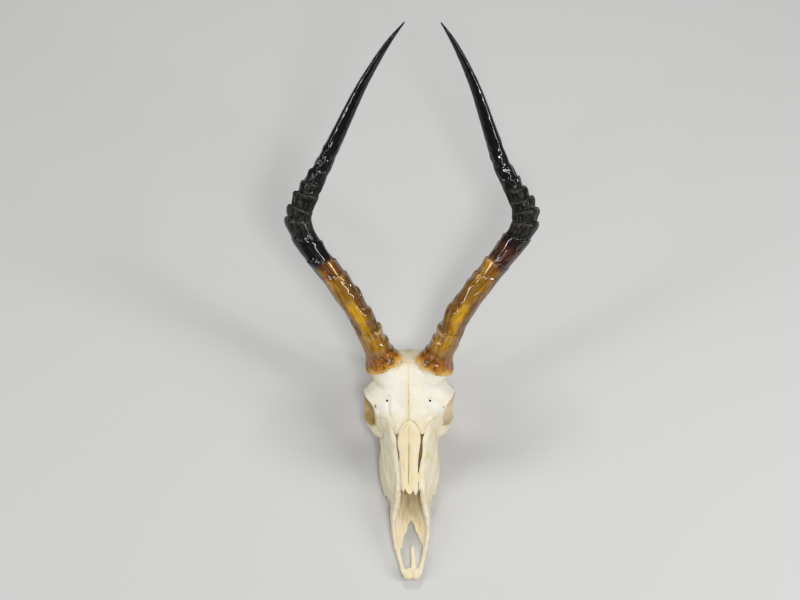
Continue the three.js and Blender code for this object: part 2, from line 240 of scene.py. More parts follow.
def tube(around, along):
    # a closed tube, and each vertex's turn, share of the length and share of the radius
    work = bmesh.new()
    bmesh.ops.create_cone(work, cap_ends=True, segments=around, radius1=1, radius2=1, depth=1)
    lengthwise = [e for e in work.edges if abs(e.verts[0].co.z - e.verts[1].co.z) > 0.5]
    bmesh.ops.subdivide_edges(work, edges=lengthwise, cuts=along - 1)
    bmesh.ops.poke(work, faces=[f for f in work.faces if len(f.verts) > 4])
    mesh = meshFrom(work, "tube")
    places = placesOf(mesh)
    reach = np.hypot(places[:, 0], places[:, 1])
    return mesh, np.arctan2(places[:, 1], places[:, 0]), places[:, 2] + 0.5, reach


def ball(at, size, side=1, detail=4):
    work = bmesh.new()
    bmesh.ops.create_icosphere(work, subdivisions=detail, radius=1)
    bmesh.ops.scale(work, vec=size, verts=work.verts)
    bmesh.ops.translate(work, vec=(side * at[0], at[1], at[2]), verts=work.verts)
    return meshFrom(work, "ball")


def prism(outline, low, high, slope=0.0):
    # an upright block on the outline; the slope lifts it along y
    work = bmesh.new()
    face = work.faces.new([work.verts.new((x, y, low)) for x, y in outline])
    grown = bmesh.ops.extrude_face_region(work, geom=[face])
    top = [v for v in grown["geom"] if isinstance(v, bmesh.types.BMVert)]
    bmesh.ops.translate(work, vec=(0, 0, high - low), verts=top)
    bmesh.ops.triangulate(work, faces=work.faces)
    lift = Matrix(((1, 0, 0, 0), (0, 1, 0, 0), (0, slope, 1, 0), (0, 0, 0, 1)))
    bmesh.ops.transform(work, matrix=lift, verts=work.verts)
    return meshFrom(work, "prism")


def ragged(outline, step, size, seed):
    # the same outline with its edges broken into short uneven steps
    ring = np.array(list(outline) + [outline[0]], float)
    keys = runLength(ring)
    at = np.arange(0, keys[-1] - step / 2, step)
    points = np.stack([np.interp(at, keys, ring[:, k]) for k in (0, 1)], 1)
    spots = np.c_[points, np.zeros(len(at))]
    return points + size * np.stack([noiseAt(spots, 1.6 * step, seed + k) for k in (0, 1)], 1)


def limb(stops, side=1, around=20, perStop=6):
    # a tapering limb with round ends; each stop is x, y, z, half width across x, half height
    rows = np.array(stops, float)
    rows[:, 0] *= side
    keys = runLength(rows[:, :3])
    mesh, turn, share, reach = tube(around, perStop * len(rows))
    at = share * keys[-1]
    row = smoothRows(keys, rows, at)
    tangent = unit(smoothRows(keys, rows[:, :3], at + 0.5) - smoothRows(keys, rows[:, :3], at - 0.5))
    across = unit(np.array([1, 0, 0]) - tangent * tangent[:, :1])
    up = np.cross(tangent, across)
    fromEnd = np.minimum(at, keys[-1] - at) / np.minimum(row[:, 3], row[:, 4])
    taper = np.sqrt(np.clip(1 - (1 - np.clip(fromEnd, 0, 1)) ** 2, 0.03, 1)) * reach
    width = (row[:, 3] * np.cos(turn) * taper)[:, None]
    height = (row[:, 4] * np.sin(turn) * taper)[:, None]
    setPlaces(mesh, row[:, :3] + across * width + up * height)
    return mesh


def hull(stations, along, around):
    # a symmetrical body; each station is y, then half an outline as x, z pairs, top to bottom
    table = np.array(stations, float)
    mesh, turn, share, reach = tube(around, along)
    y = table[0, 0] + share * (table[-1, 0] - table[0, 0])
    steps = np.unique(y.round(4))
    rows = smoothRows(table[:, 0], table[:, 1:], steps)
    halves = rows.reshape(len(steps), -1, 2)
    mirrored = halves[:, 1:-1][:, ::-1] * [-1, 1]
    loop = np.concatenate([halves, mirrored], 1)
    count = loop.shape[1]
    step = np.searchsorted(steps, y.round(4) - 1e-6)
    place = (turn / (2 * math.pi)) % 1 * count
    k = np.floor(place).astype(int) % count
    t = (place - np.floor(place))[:, None]
    before, here, there, after = (loop[step, (k + j) % count] for j in (-1, 0, 1, 2))
    edge = curve(here, there, (there - before) / 2, (after - here) / 2, t)
    middle = loop.mean(1)[step]
    outline = middle + (edge - middle) * reach[:, None]
    setPlaces(mesh, np.stack([outline[:, 0], y, outline[:, 1]], 1))
    return meshFrom(workFrom(mesh), "hull")


def treeOf(mesh):
    return BVHTree.FromPolygons([v.co for v in mesh.vertices], [p.vertices for p in mesh.polygons])


def groove(tree, line, width, depth, jag=0.0, seed=0):
    # a strip with a diamond section that follows the surface under a line of x, y points
    rows = np.array(line, float)
    keys = runLength(rows)
    mesh, turn, share, _ = tube(4, max(6, int(keys[-1] / 0.7)))
    at = share * keys[-1]
    route = smoothRows(keys, rows, at)
    ahead = unit(smoothRows(keys, rows, at + 0.4) - smoothRows(keys, rows, at - 0.4))
    spots = np.c_[route, np.zeros(len(at))]
    swing = jag * (np.sin(2.4 * at + 3 * noiseAt(spots, 5, seed)) + noiseAt(spots, 1.5, seed + 1))
    route = route + np.stack([-ahead[:, 1], ahead[:, 0]], 1) * swing[:, None]
    uneven = 1 + (1.4 * noiseAt(spots, 2.2, seed + 2) - 0.3) * min(1, 3 * jag)
    uneven = np.clip(uneven, 0.12, 1.3)
    fade = np.sqrt(np.clip(np.minimum(at, keys[-1] - at) / 2.5, 0.05, 1)) * uneven
    places = np.empty((len(at), 3))
    for k, (x, y) in enumerate(route):
        spot, normal, _, _ = tree.ray_cast(Vector((x, y, 200)), Vector((0, 0, -1)))
        along = Vector((ahead[k, 0], ahead[k, 1], 0))
        along = (along - along.dot(normal) * normal).normalized()
        across = along.cross(normal)
        wide = across * (width * fade[k] * math.cos(turn[k]))
        places[k] = spot + wide + normal * (depth * fade[k] * math.sin(turn[k]))
    setPlaces(mesh, places)
    return meshFrom(workFrom(mesh), "groove")


def drill(at, radius, depth, seed, side=1, toward=faceNormal):
    # an uneven hole, open on the side that it points toward
    work = bmesh.new()
    bmesh.ops.create_cone(work, cap_ends=True, segments=14, radius1=0.7, radius2=1, depth=2)
    for vertex in work.verts:
        uneven = 1 + 0.25 * noise.noise(Vector((vertex.co.x, vertex.co.y, seed)))
        vertex.co = Vector((vertex.co.x * uneven, vertex.co.y * uneven, vertex.co.z))
    bmesh.ops.scale(work, vec=(radius[0], radius[1], depth), verts=work.verts)
    turned = Vector(toward).to_track_quat("Z", "Y").to_matrix()
    bmesh.ops.rotate(work, cent=(0, 0, 0), matrix=turned, verts=work.verts)
    bmesh.ops.translate(work, vec=(side * at[0], at[1], at[2]), verts=work.verts)
    return meshFrom(work, "drill")


def lineDistance(x, y, line):
    # how far each point is from a bent line in a plane
    best = np.full(len(x), 1e9)
    for (ax, ay), (bx, by) in zip(line, line[1:]):
        dx, dy = bx - ax, by - ay
        t = np.clip(((x - ax) * dx + (y - ay) * dy) / (dx * dx + dy * dy), 0, 1)
        best = np.minimum(best, np.hypot(x - ax - t * dx, y - ay - t * dy))
    return best


def nearness(places, mesh, reach):
    # 1 on the mesh's surface, falling to 0 at reach from it
    tree = treeOf(mesh)
    low, high = placesOf(mesh).min(0) - reach, placesOf(mesh).max(0) + reach
    value = np.zeros(len(places))
    for k in np.nonzero(np.all((places > low) & (places < high), axis=1))[0]:
        found = tree.find_nearest(Vector(places[k]), reach)
        if found[0] is not None:
            value[k] = 1 - found[3] / reach
    return value


def finishPiece(name, mesh, material, nodes):
    # moves a finished mesh to its place in the part's frame, in metres
    mesh.transform(Matrix.Scale(0.001, 4) @ Matrix.Translation(ownFrame))
    mesh.name = name
    mesh.materials.clear()
    mesh.materials.append(material)
    mesh.shade_smooth()
    piece = objectFrom(mesh, name)
    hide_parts(*nodes)
    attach(piece, "root")
    triangles = sum(len(p.vertices) - 2 for p in mesh.polygons)
    print(name, triangles, "triangles")


def newMaterial(name):
    material = bpy.data.materials.new(name)
    material.use_nodes = True
    nodes = material.node_tree.nodes
    return material, material.node_tree, nodes["Principled BSDF"]


def put(tree, kind, links=(), **settings):
    # adds a node; links pairs an input with the socket that feeds it or with a value
    node = tree.nodes.new(kind)
    for key, value in settings.items():
        setattr(node, key, value)
    for socket, source in links:
        if isinstance(source, bpy.types.NodeSocket):
            tree.links.new(source, node.inputs[socket])
        else:
            node.inputs[socket].default_value = source
    return node


def ramp(tree, source, stops):
    node = put(tree, "ShaderNodeValToRGB", [("Fac", source)])
    points = node.color_ramp.elements
    while len(points) < len(stops):
        points.new(0.5)
    for point, (place, colour) in zip(points, stops):
        point.position = place
        point.color = (*colour, 1)
    return node.outputs["Color"]


def mixColour(tree, share, first, second):
    node = put(tree, "ShaderNodeMix", data_type="RGBA")
    for socket, source in ((node.inputs[0], share), (node.inputs[6], first), (node.inputs[7], second)):
        if isinstance(source, bpy.types.NodeSocket):
            tree.links.new(source, socket)
        else:
            socket.default_value = (*source, 1) if isinstance(source, tuple) else source
    return node.outputs[2]


def maths(tree, operation, first, second=0.0, clamp=False):
    return put(
        tree, "ShaderNodeMath", [(0, first), (1, second)], operation=operation, use_clamp=clamp
    ).outputs[0]


def times(tree, first, second):
    return maths(tree, "MULTIPLY", first, second)


def plus(tree, first, second):
    return maths(tree, "ADD", first, second, clamp=True)


def spread(tree, source, low, high, toLow=0.0, toHigh=1.0):
    ends = [("From Min", low), ("From Max", high), ("To Min", toLow), ("To Max", toHigh)]
    return put(
        tree, "ShaderNodeMapRange", [("Value", source), *ends], interpolation_type="SMOOTHSTEP"
    ).outputs["Result"]


def cloud(tree, place, scale, offset=(0, 0, 0), stretch=(1, 1, 1)):
    links = [("Vector", place), ("Location", offset), ("Scale", stretch)]
    moved = put(tree, "ShaderNodeMapping", links).outputs[0]
    links = [("Vector", moved), ("Scale", scale), ("Detail", 3.0)]
    return put(tree, "ShaderNodeTexNoise", links).outputs["Fac"]


def attribute(tree, name, output="Fac"):
    return put(tree, "ShaderNodeAttribute", attribute_name=name).outputs[output]


def grainGroup():
    # pores and fibres: a fine speckle, and streaks drawn out along one direction
    group = bpy.data.node_groups.new("grain", "ShaderNodeTree")
    kinds = {"Vector": "Vector", "Speckle Scale": "Float", "Streak Scale": "Float", "Stretch": "Vector"}
    for label, kind in kinds.items():
        group.interface.new_socket(label, in_out="INPUT", socket_type=f"NodeSocket{kind}")
    for label in ("Speckle", "Streaks"):
        group.interface.new_socket(label, in_out="OUTPUT", socket_type="NodeSocketFloat")
    given = group.nodes.new("NodeGroupInput").outputs
    result = group.nodes.new("NodeGroupOutput").inputs
    stretched = [(0, given["Vector"]), (1, given["Stretch"])]
    drawn = put(group, "ShaderNodeVectorMath", stretched, operation="MULTIPLY").outputs[0]
    for label, vector, scale, detail in (
        ("Speckle", given["Vector"], given["Speckle Scale"], 3.0),
        ("Streaks", drawn, given["Streak Scale"], 4.0),
    ):
        links = [("Vector", vector), ("Scale", scale), ("Detail", detail)]
        texture = put(group, "ShaderNodeTexNoise", links)
        group.links.new(texture.outputs["Fac"], result[label])
    return group


grain = grainGroup()


def placeGrain(tree, vector, speckle, streak, stretch):
    node = put(tree, "ShaderNodeGroup", node_tree=grain)
    for socket, value in (("Speckle Scale", speckle), ("Streak Scale", streak), ("Stretch", stretch)):
        node.inputs[socket].default_value = value
    tree.links.new(vector, node.inputs["Vector"])
    return node.outputs["Speckle"], node.outputs["Streaks"]


def layered(tree, colour, layers):
    # lays each layer's colour over the ones before, by its share
    for share, over in layers:
        colour = mixColour(tree, share, colour, over)
    return colour


def finishMaterial(tree, shader, colour, rough, height, relief):
    # relief is how strong the bump is, and its height in metres
    links = [("Height", height), ("Strength", relief[0]), ("Distance", relief[1])]
    bump = put(tree, "ShaderNodeBump", links).outputs["Normal"]
    for socket, source in (("Base Color", colour), ("Roughness", rough), ("Normal", bump)):
        tree.links.new(source, shader.inputs[socket])


boneLook = {
    "clean": (0.83, 0.80, 0.67),
    "cool": (0.76, 0.76, 0.69),
    "cream": (0.81, 0.68, 0.42),
    # tan is the seams' colour, and the colour of the painted shade in the hollows
    "tan": (0.50, 0.33, 0.10),
    "greyAndShade": (0.48, 0.46, 0.34),
    "stain": (0.62, 0.56, 0.18),
    # inside a suture, then a slot, then a hole: brown for a suture's own joint, then painted shade that
    # darkens slots and holes down to near black
    "cut": [(0.0, (0.70, 0.52, 0.28)), (0.35, (0.47, 0.30, 0.13)), (0.55, (0.30, 0.17, 0.05)),
            (0.75, (0.12, 0.075, 0.015)), (1.0, (0.02, 0.018, 0.008))],
    "grain": (1300, 240, (1.0, 0.14, 1.0)),  # scales of speckle and streaks, and the streaks' stretch
    "roughness": (0.45, 0.62),
    "relief": (0.28, 0.0006),
    "specular": 0.35,
}


def boneMaterial():
    look = boneLook
    material, tree, shader = newMaterial("dryBone")
    place = put(tree, "ShaderNodeTexCoord").outputs["Object"]
    speckle, streaks = placeGrain(tree, place, *look["grain"])
    warmth = spread(tree, cloud(tree, place, 34), 0.4, 0.75, 0, 0.25)
    warmth = plus(tree, attribute(tree, "warmth"), warmth)
    warmth = plus(tree, warmth, spread(tree, streaks, 0.5, 0.8, 0, 0.3))
    patches = spread(tree, cloud(tree, place, 210, (1, 3, 2)), 0.4, 0.62, 0, 0.8)
    uneven = {
        "greyAndShade": spread(tree, streaks, 0.3, 0.62, 0.35, 1.0),
        "stain": spread(tree, cloud(tree, place, 120), 0.35, 0.6),
        "hollowTanAndShade": spread(tree, streaks, 0.3, 0.66, 1.1, 0.85),
        "seam": spread(tree, speckle, 0.3, 0.7, 0.45, 1.0),
    }
    tints = {"greyAndShade": "greyAndShade", "stain": "stain", "hollowTanAndShade": "tan", "seam": "tan"}
    layers = [(patches, look["cool"]), (warmth, look["cream"])]
    for name, tint in tints.items():
        layers.append((times(tree, attribute(tree, name), uneven[name]), look[tint]))
    cut = attribute(tree, "cut")
    # cut faces: a suture's own brown, and painted shade deep in slots and holes
    layers.append((spread(tree, cut, 0.0, 0.1), ramp(tree, cut, look["cut"])))
    rough = spread(tree, speckle, 0.3, 0.7, *look["roughness"])
    height = maths(tree, "ADD", times(tree, speckle, 0.5), times(tree, streaks, 1.1))
    colour = layered(tree, look["clean"], layers)
    finishMaterial(tree, shader, colour, rough, height, look["relief"])
    shader.inputs["Specular IOR Level"].default_value = look["specular"]
    return material


hornLook = {
    # place along the horn's own colour scale, and the colour there
    "scale": [
        (0.0, (0.78, 0.56, 0.25)),
        (0.03, (0.68, 0.40, 0.10)),
        (0.07, (0.52, 0.22, 0.024)),
        (0.12, (0.38, 0.13, 0.010)),
        (0.17, (0.33, 0.12, 0.008)),
        (0.24, (0.37, 0.18, 0.006)),
        (0.42, (0.38, 0.175, 0.004)),
        (0.55, (0.26, 0.10, 0.004)),
        (0.61, (0.105, 0.026, 0.004)),
        (0.69, (0.014, 0.003, 0.002)),
        (0.76, (0.0025, 0.002, 0.0018)),
        (0.86, (0.0060, 0.0056, 0.0048)),
        (0.94, (0.0025, 0.0025, 0.0022)),
        (1.0, (0.0012, 0.0012, 0.0012)),
    ],
    "gold": (0.66, 0.36, 0.008),
    "rust": (0.19, 0.045, 0.003),
    "olive": (0.16, 0.092, 0.006),
    "umber": (0.034, 0.010, 0.002),
    "tooth": (0.085, 0.022, 0.003),  # dark fluting of the foot
    "pale": (0.74, 0.50, 0.20),
    "dust": (0.11, 0.10, 0.085),
    "pitch": (0.0012, 0.0011, 0.0010),
    "grain": (1500, 420, (1.0, 1.0, 0.06)),
    "roughness": (0.24, 0.36, 0.22),  # where streaks are dark, where they are light, more where dull
    "coat": (0.9, 0.12, 0.6),  # where polished, where dull, and how much of it the black part has
    "relief": (0.3, 0.0005),
    "sockets": {"IOR": 1.5, "Specular IOR Level": 0.07, "Coat Roughness": 0.02, "Coat IOR": 1.75},
}


def hornMaterial():
    look = hornLook
    material, tree, shader = newMaterial("polishedHorn")
    place = attribute(tree, "hornPlace", "Vector")
    zone, side, dull, lipShade, lipPale, lipEdge = (
        attribute(tree, name) for name in ("zone", "flank", "dull", "lipShade", "lipPale", "lipEdge")
    )
    speckle, streaks = placeGrain(tree, place, *look["grain"])
    bands = cloud(tree, place, 130, (0.3, 0.1, 0), (1, 1, 0.14))
    mottle = cloud(tree, place, 78, (2, 0, 0), (1, 1, 0.7))
    clump = cloud(tree, place, 60, (5, 2, 0), (1, 1, 0.5))
    flecks = cloud(tree, place, 330, (7, 1, 3), (1, 1, 0.45))
    flutes = cloud(tree, place, 240, (0, 4, 1), (1, 1, 0.12))
    amber = times(tree, spread(tree, zone, 0.12, 0.22), spread(tree, zone, 0.66, 0.55))
    black = spread(tree, zone, 0.7, 0.8)

    gold = times(tree, spread(tree, bands, 0.38, 0.56), spread(tree, clump, 0.6, 0.44, 0.35, 1.0))
    # less gold on the flanks: painted shade
    gold = times(tree, times(tree, amber, gold), spread(tree, side, 0.9, 0.1, 0.0, 0.95))
    veins = times(tree, spread(tree, streaks, 0.46, 0.28, 0, 0.7), spread(tree, zone, 0.72, 0.5))
    teeth = times(tree, spread(tree, flutes, 0.52, 0.42, 0, 0.75), spread(tree, zone, 0.22, 0.15))
    # umber on the flanks: painted shade across the amber
    edges = times(tree, times(tree, amber, side), spread(tree, bands, 0.62, 0.38, 0.25, 0.8))
    edges = times(tree, edges, spread(tree, zone, 0.2, 0.45, 0.3, 1.0))
    pale = times(tree, times(tree, lipPale, amber), spread(tree, speckle, 0.3, 0.6, 0.3, 0.9))
    patchy = times(tree, spread(tree, flecks, 0.4, 0.62), spread(tree, streaks, 0.3, 0.6, 0.4, 1.0))
    dust = times(tree, times(tree, dull, patchy), spread(tree, zone, 0.7, 0.8, 0, 0.4))
    rims = times(tree, times(tree, lipEdge, dull), spread(tree, clump, 0.4, 0.6, 0.05, 0.4))
    layers = [
        (times(tree, amber, spread(tree, mottle, 0.48, 0.6, 0, 0.75)), "rust"),
        (times(tree, amber, spread(tree, clump, 0.48, 0.62, 0, 0.5)), "olive"),
        (gold, "gold"),
        (times(tree, amber, spread(tree, flecks, 0.56, 0.68, 0, 0.5)), "rust"),
        (veins, "umber"),
        (times(tree, teeth, spread(tree, zone, 0.03, 0.08)), "tooth"),
        (edges, "umber"),
        (times(tree, lipShade, spread(tree, zone, 0.8, 0.6, 0, 0.9)), "umber"),
        (pale, "pale"),
        (dust, "dust"),
        (times(tree, rims, black), "dust"),
        (times(tree, lipShade, spread(tree, zone, 0.7, 0.8, 0, 0.95)), "pitch"),
    ]
    layers = [(share, look[name]) for share, name in layers]
    smooth, rough, duller = look["roughness"]
    polished, matt, dark = look["coat"]
    rough = plus(tree, spread(tree, streaks, 0.3, 0.7, smooth, rough), times(tree, dull, duller))
    coat = spread(tree, dull, 0.0, 1.0, polished, matt)
    coat = times(tree, coat, spread(tree, zone, 0.66, 0.76, 1.0, dark))
    tree.links.new(coat, shader.inputs["Coat Weight"])
    for socket, value in look["sockets"].items():
        shader.inputs[socket].default_value = value
    height = plus(tree, times(tree, streaks, 0.7), times(tree, speckle, 0.2))
    colour = layered(tree, ramp(tree, zone, look["scale"]), layers)
    finishMaterial(tree, shader, colour, rough, height, look["relief"])
    return material


toothLook = {
    "enamel": (0.78, 0.70, 0.52),
    "neck": (0.42, 0.27, 0.12),
    "worn": (0.30, 0.16, 0.06),
    "neckHeight": (0.007, 0.015),  # metres above the surface the teeth stand on
    "grain": (1800, 600, (1.0, 1.0, 0.12)),
    "roughness": (0.22, 0.42),
    "relief": (0.25, 0.0004),
}


def toothMaterial():
    look = toothLook
    material, tree, shader = newMaterial("enamel")
    place = put(tree, "ShaderNodeTexCoord").outputs["Object"]
    speckle, streaks = placeGrain(tree, place, *look["grain"])
    height = put(tree, "ShaderNodeSeparateXYZ", [(0, place)]).outputs["Z"]
    neck = spread(tree, height, *look["neckHeight"], 0, 0.8)
    stain = plus(tree, neck, spread(tree, streaks, 0.5, 0.75, 0, 0.45))
    layers = [(stain, look["neck"]), (attribute(tree, "worn"), look["worn"])]
    rough = spread(tree, speckle, 0.3, 0.7, *look["roughness"])
    finishMaterial(
        tree, shader, layered(tree, look["enamel"], layers), rough, streaks, look["relief"]
    )
    return material


hornSet = {
    "around": 96,
    "along": 900,
    # seen square-on to the face: the middle outwards and up from the muzzle, then half width
    "front": {
        "left": [(30, 261.5, 23.5), (37, 277, 17), (43, 290, 15.5), (56.5, 316, 14.5),
                 (83.5, 358, 14.5), (116, 400, 14), (125, 414.5, 14.5), (129, 429, 15),
                 (127, 442, 14.5), (121, 455, 13.5), (98, 497, 9.5), (85, 523, 8.5),
                 (50, 589, 5.5), (20, 631, 2.5), (6, 646, 0.7)],
        "right": [(29.5, 259.5, 24), (36.5, 276.5, 17), (43.5, 290, 16), (55, 316, 15),
                  (84, 358, 14.5), (117, 399.5, 14.5), (128, 413.5, 14.5), (134, 428, 15.5),
                  (133, 443, 15), (127, 455, 13), (105, 496, 9.5), (95, 524, 8.5),
                  (70, 589, 5.5), (45, 632, 2.5), (34, 646, 0.7)],
    },
    # length along the horn in that view, and how many degrees it leans out of the view's plane
    "lean": [(0, 30), (60, 32), (105, 18), (160, 7), (200, 3), (240, 8), (300, 21), (370, 31),
             (450, 39)],
    "sink": 10,  # how far behind that plane the middle of its foot is
    "depth": {"base": 0.84, "shaft": 1.12, "from": 30},  # front-to-back over width
    # each growth ring's lip: length along the horn, how far it stands out, its direction in degrees
    # from the front of the horn (positive outwards), how narrow it is, its slant, and the length
    # over which it falls back
    "lips": {
        "left": [
            (9, 1.3, -50, 1.5, 0.0, 1.5), (17, 1.5, -60, 2, 0.05, 2.5), (32, 3.0, -78, 3, 0.1, 6),
            (54, 4.6, -68, 3, 0.15, 2.2), (81, 2.8, -66, 2.6, 0.4, 8), (110, 2.8, -70, 2.6, 0.35, 8),
            (136, 2.8, -35, 1.8, 0.45, 1.1), (158, 3.2, -15, 1.2, 0.7, 1.1),
            (188, 3.2, -30, 1.2, 0.75, 1.1), (212, 6.8, 66, 1.5, 0.25, 2.6),
            (226, 6.6, 70, 1.4, 0.0, 2.8), (244, 6.8, 72, 1.4, -0.22, 2.8),
            (259, 4.6, 70, 1.4, -0.28, 2.8), (275, 3.2, 65, 1.3, -0.28, 3),
            (290, 1.6, 60, 1.3, -0.25, 4), (305, 0.9, 50, 1.3, -0.2, 5),
        ],
        "right": [
            (11, 1.3, -50, 1.5, 0.0, 1.5), (19, 1.7, -60, 2, 0.05, 2.5), (38, 2.4, -74, 3, 0.1, 6),
            (56, 3.9, -60, 2.6, 0.12, 2.2), (85, 2.6, -68, 2.6, 0.2, 8), (100, 1.4, -62, 2.6, 0.25, 7),
            (124, 2.2, -58, 2.4, 0.3, 7), (139, 2.4, -40, 2, 0.35, 2.5),
            (158, 3.2, -20, 1.2, 0.2, 1.1), (194, 3.4, -10, 1.2, 0.4, 1.1),
            (213, 4.6, 62, 1.5, 0.25, 2.6), (228, 6.6, 70, 1.4, 0.0, 2.8),
            (242, 6.8, 72, 1.4, -0.22, 2.8), (256, 5.4, 70, 1.4, -0.28, 2.8),
            (270, 3.2, 65, 1.3, -0.28, 3), (285, 1.4, 60, 1.3, -0.25, 4),
            (299, 0.8, 50, 1.3, -0.2, 5),
        ],
    },
    # parts of the horn, as spans of the length along it
    "parts": {
        "bend": (196, 208, 270, 300),
        "waves": (200, 225, 290, 335),
        "facets": (280, 330, 420, 490),
        "dents": (24, 44, 165, 205),
        "knots": (16, 40, 170, 210),
        "dull": (190, 200, 254, 276),
    },
    # how high each kind of unevenness is
    "relief": {"waver": 1.8, "fringe": 0.9, "strands": 0.5, "ledges": 0.6, "waves": 0.9,
               "shallowWaves": 0.2, "bendFibres": 0.34, "fibres": 0.08, "facets": 0.32,
               "dents": 1.5, "knots": 0.9, "tatter": 1.3, "longTatter": 1.0},
    # where along the horn each part of the colour scale lies
    "zones": {
        "left": [(0, 0), (4, 0.04), (9, 0.09), (18, 0.15), (34, 0.24), (90, 0.42), (130, 0.5),
                 (137, 0.61), (148, 0.59), (156, 0.64), (160, 0.75), (190, 0.76), (200, 0.85),
                 (262, 0.86), (285, 0.95), (330, 1)],
        "right": [(0, 0), (4, 0.04), (9, 0.09), (18, 0.15), (34, 0.24), (90, 0.4), (136, 0.5),
                  (154, 0.57), (161, 0.675), (176, 0.65), (191, 0.72), (196, 0.77), (205, 0.85),
                  (255, 0.86), (280, 0.95), (330, 1)],
    },
    "darkEnd": 160,  # length along the horn at which amber turns dark
    "dullFoot": 20,
}


def hornRows(name):
    # the horn's middle in space and its half width, worked out from its stops in the face's plane
    kit = hornSet
    front = np.array(kit["front"][name], float)
    lengths = runLength(front[:, :2])
    leans = np.interp((lengths[1:] + lengths[:-1]) / 2, *zip(*kit["lean"]))
    out = np.r_[0, np.cumsum(np.diff(lengths) * np.tan(np.radians(leans)))] - kit["sink"]
    places = front[:, 1:2] * faceUp + out[:, None] * faceNormal
    return np.stack([sides[name] * front[:, 0], places[:, 1], places[:, 2], front[:, 2]], 1)


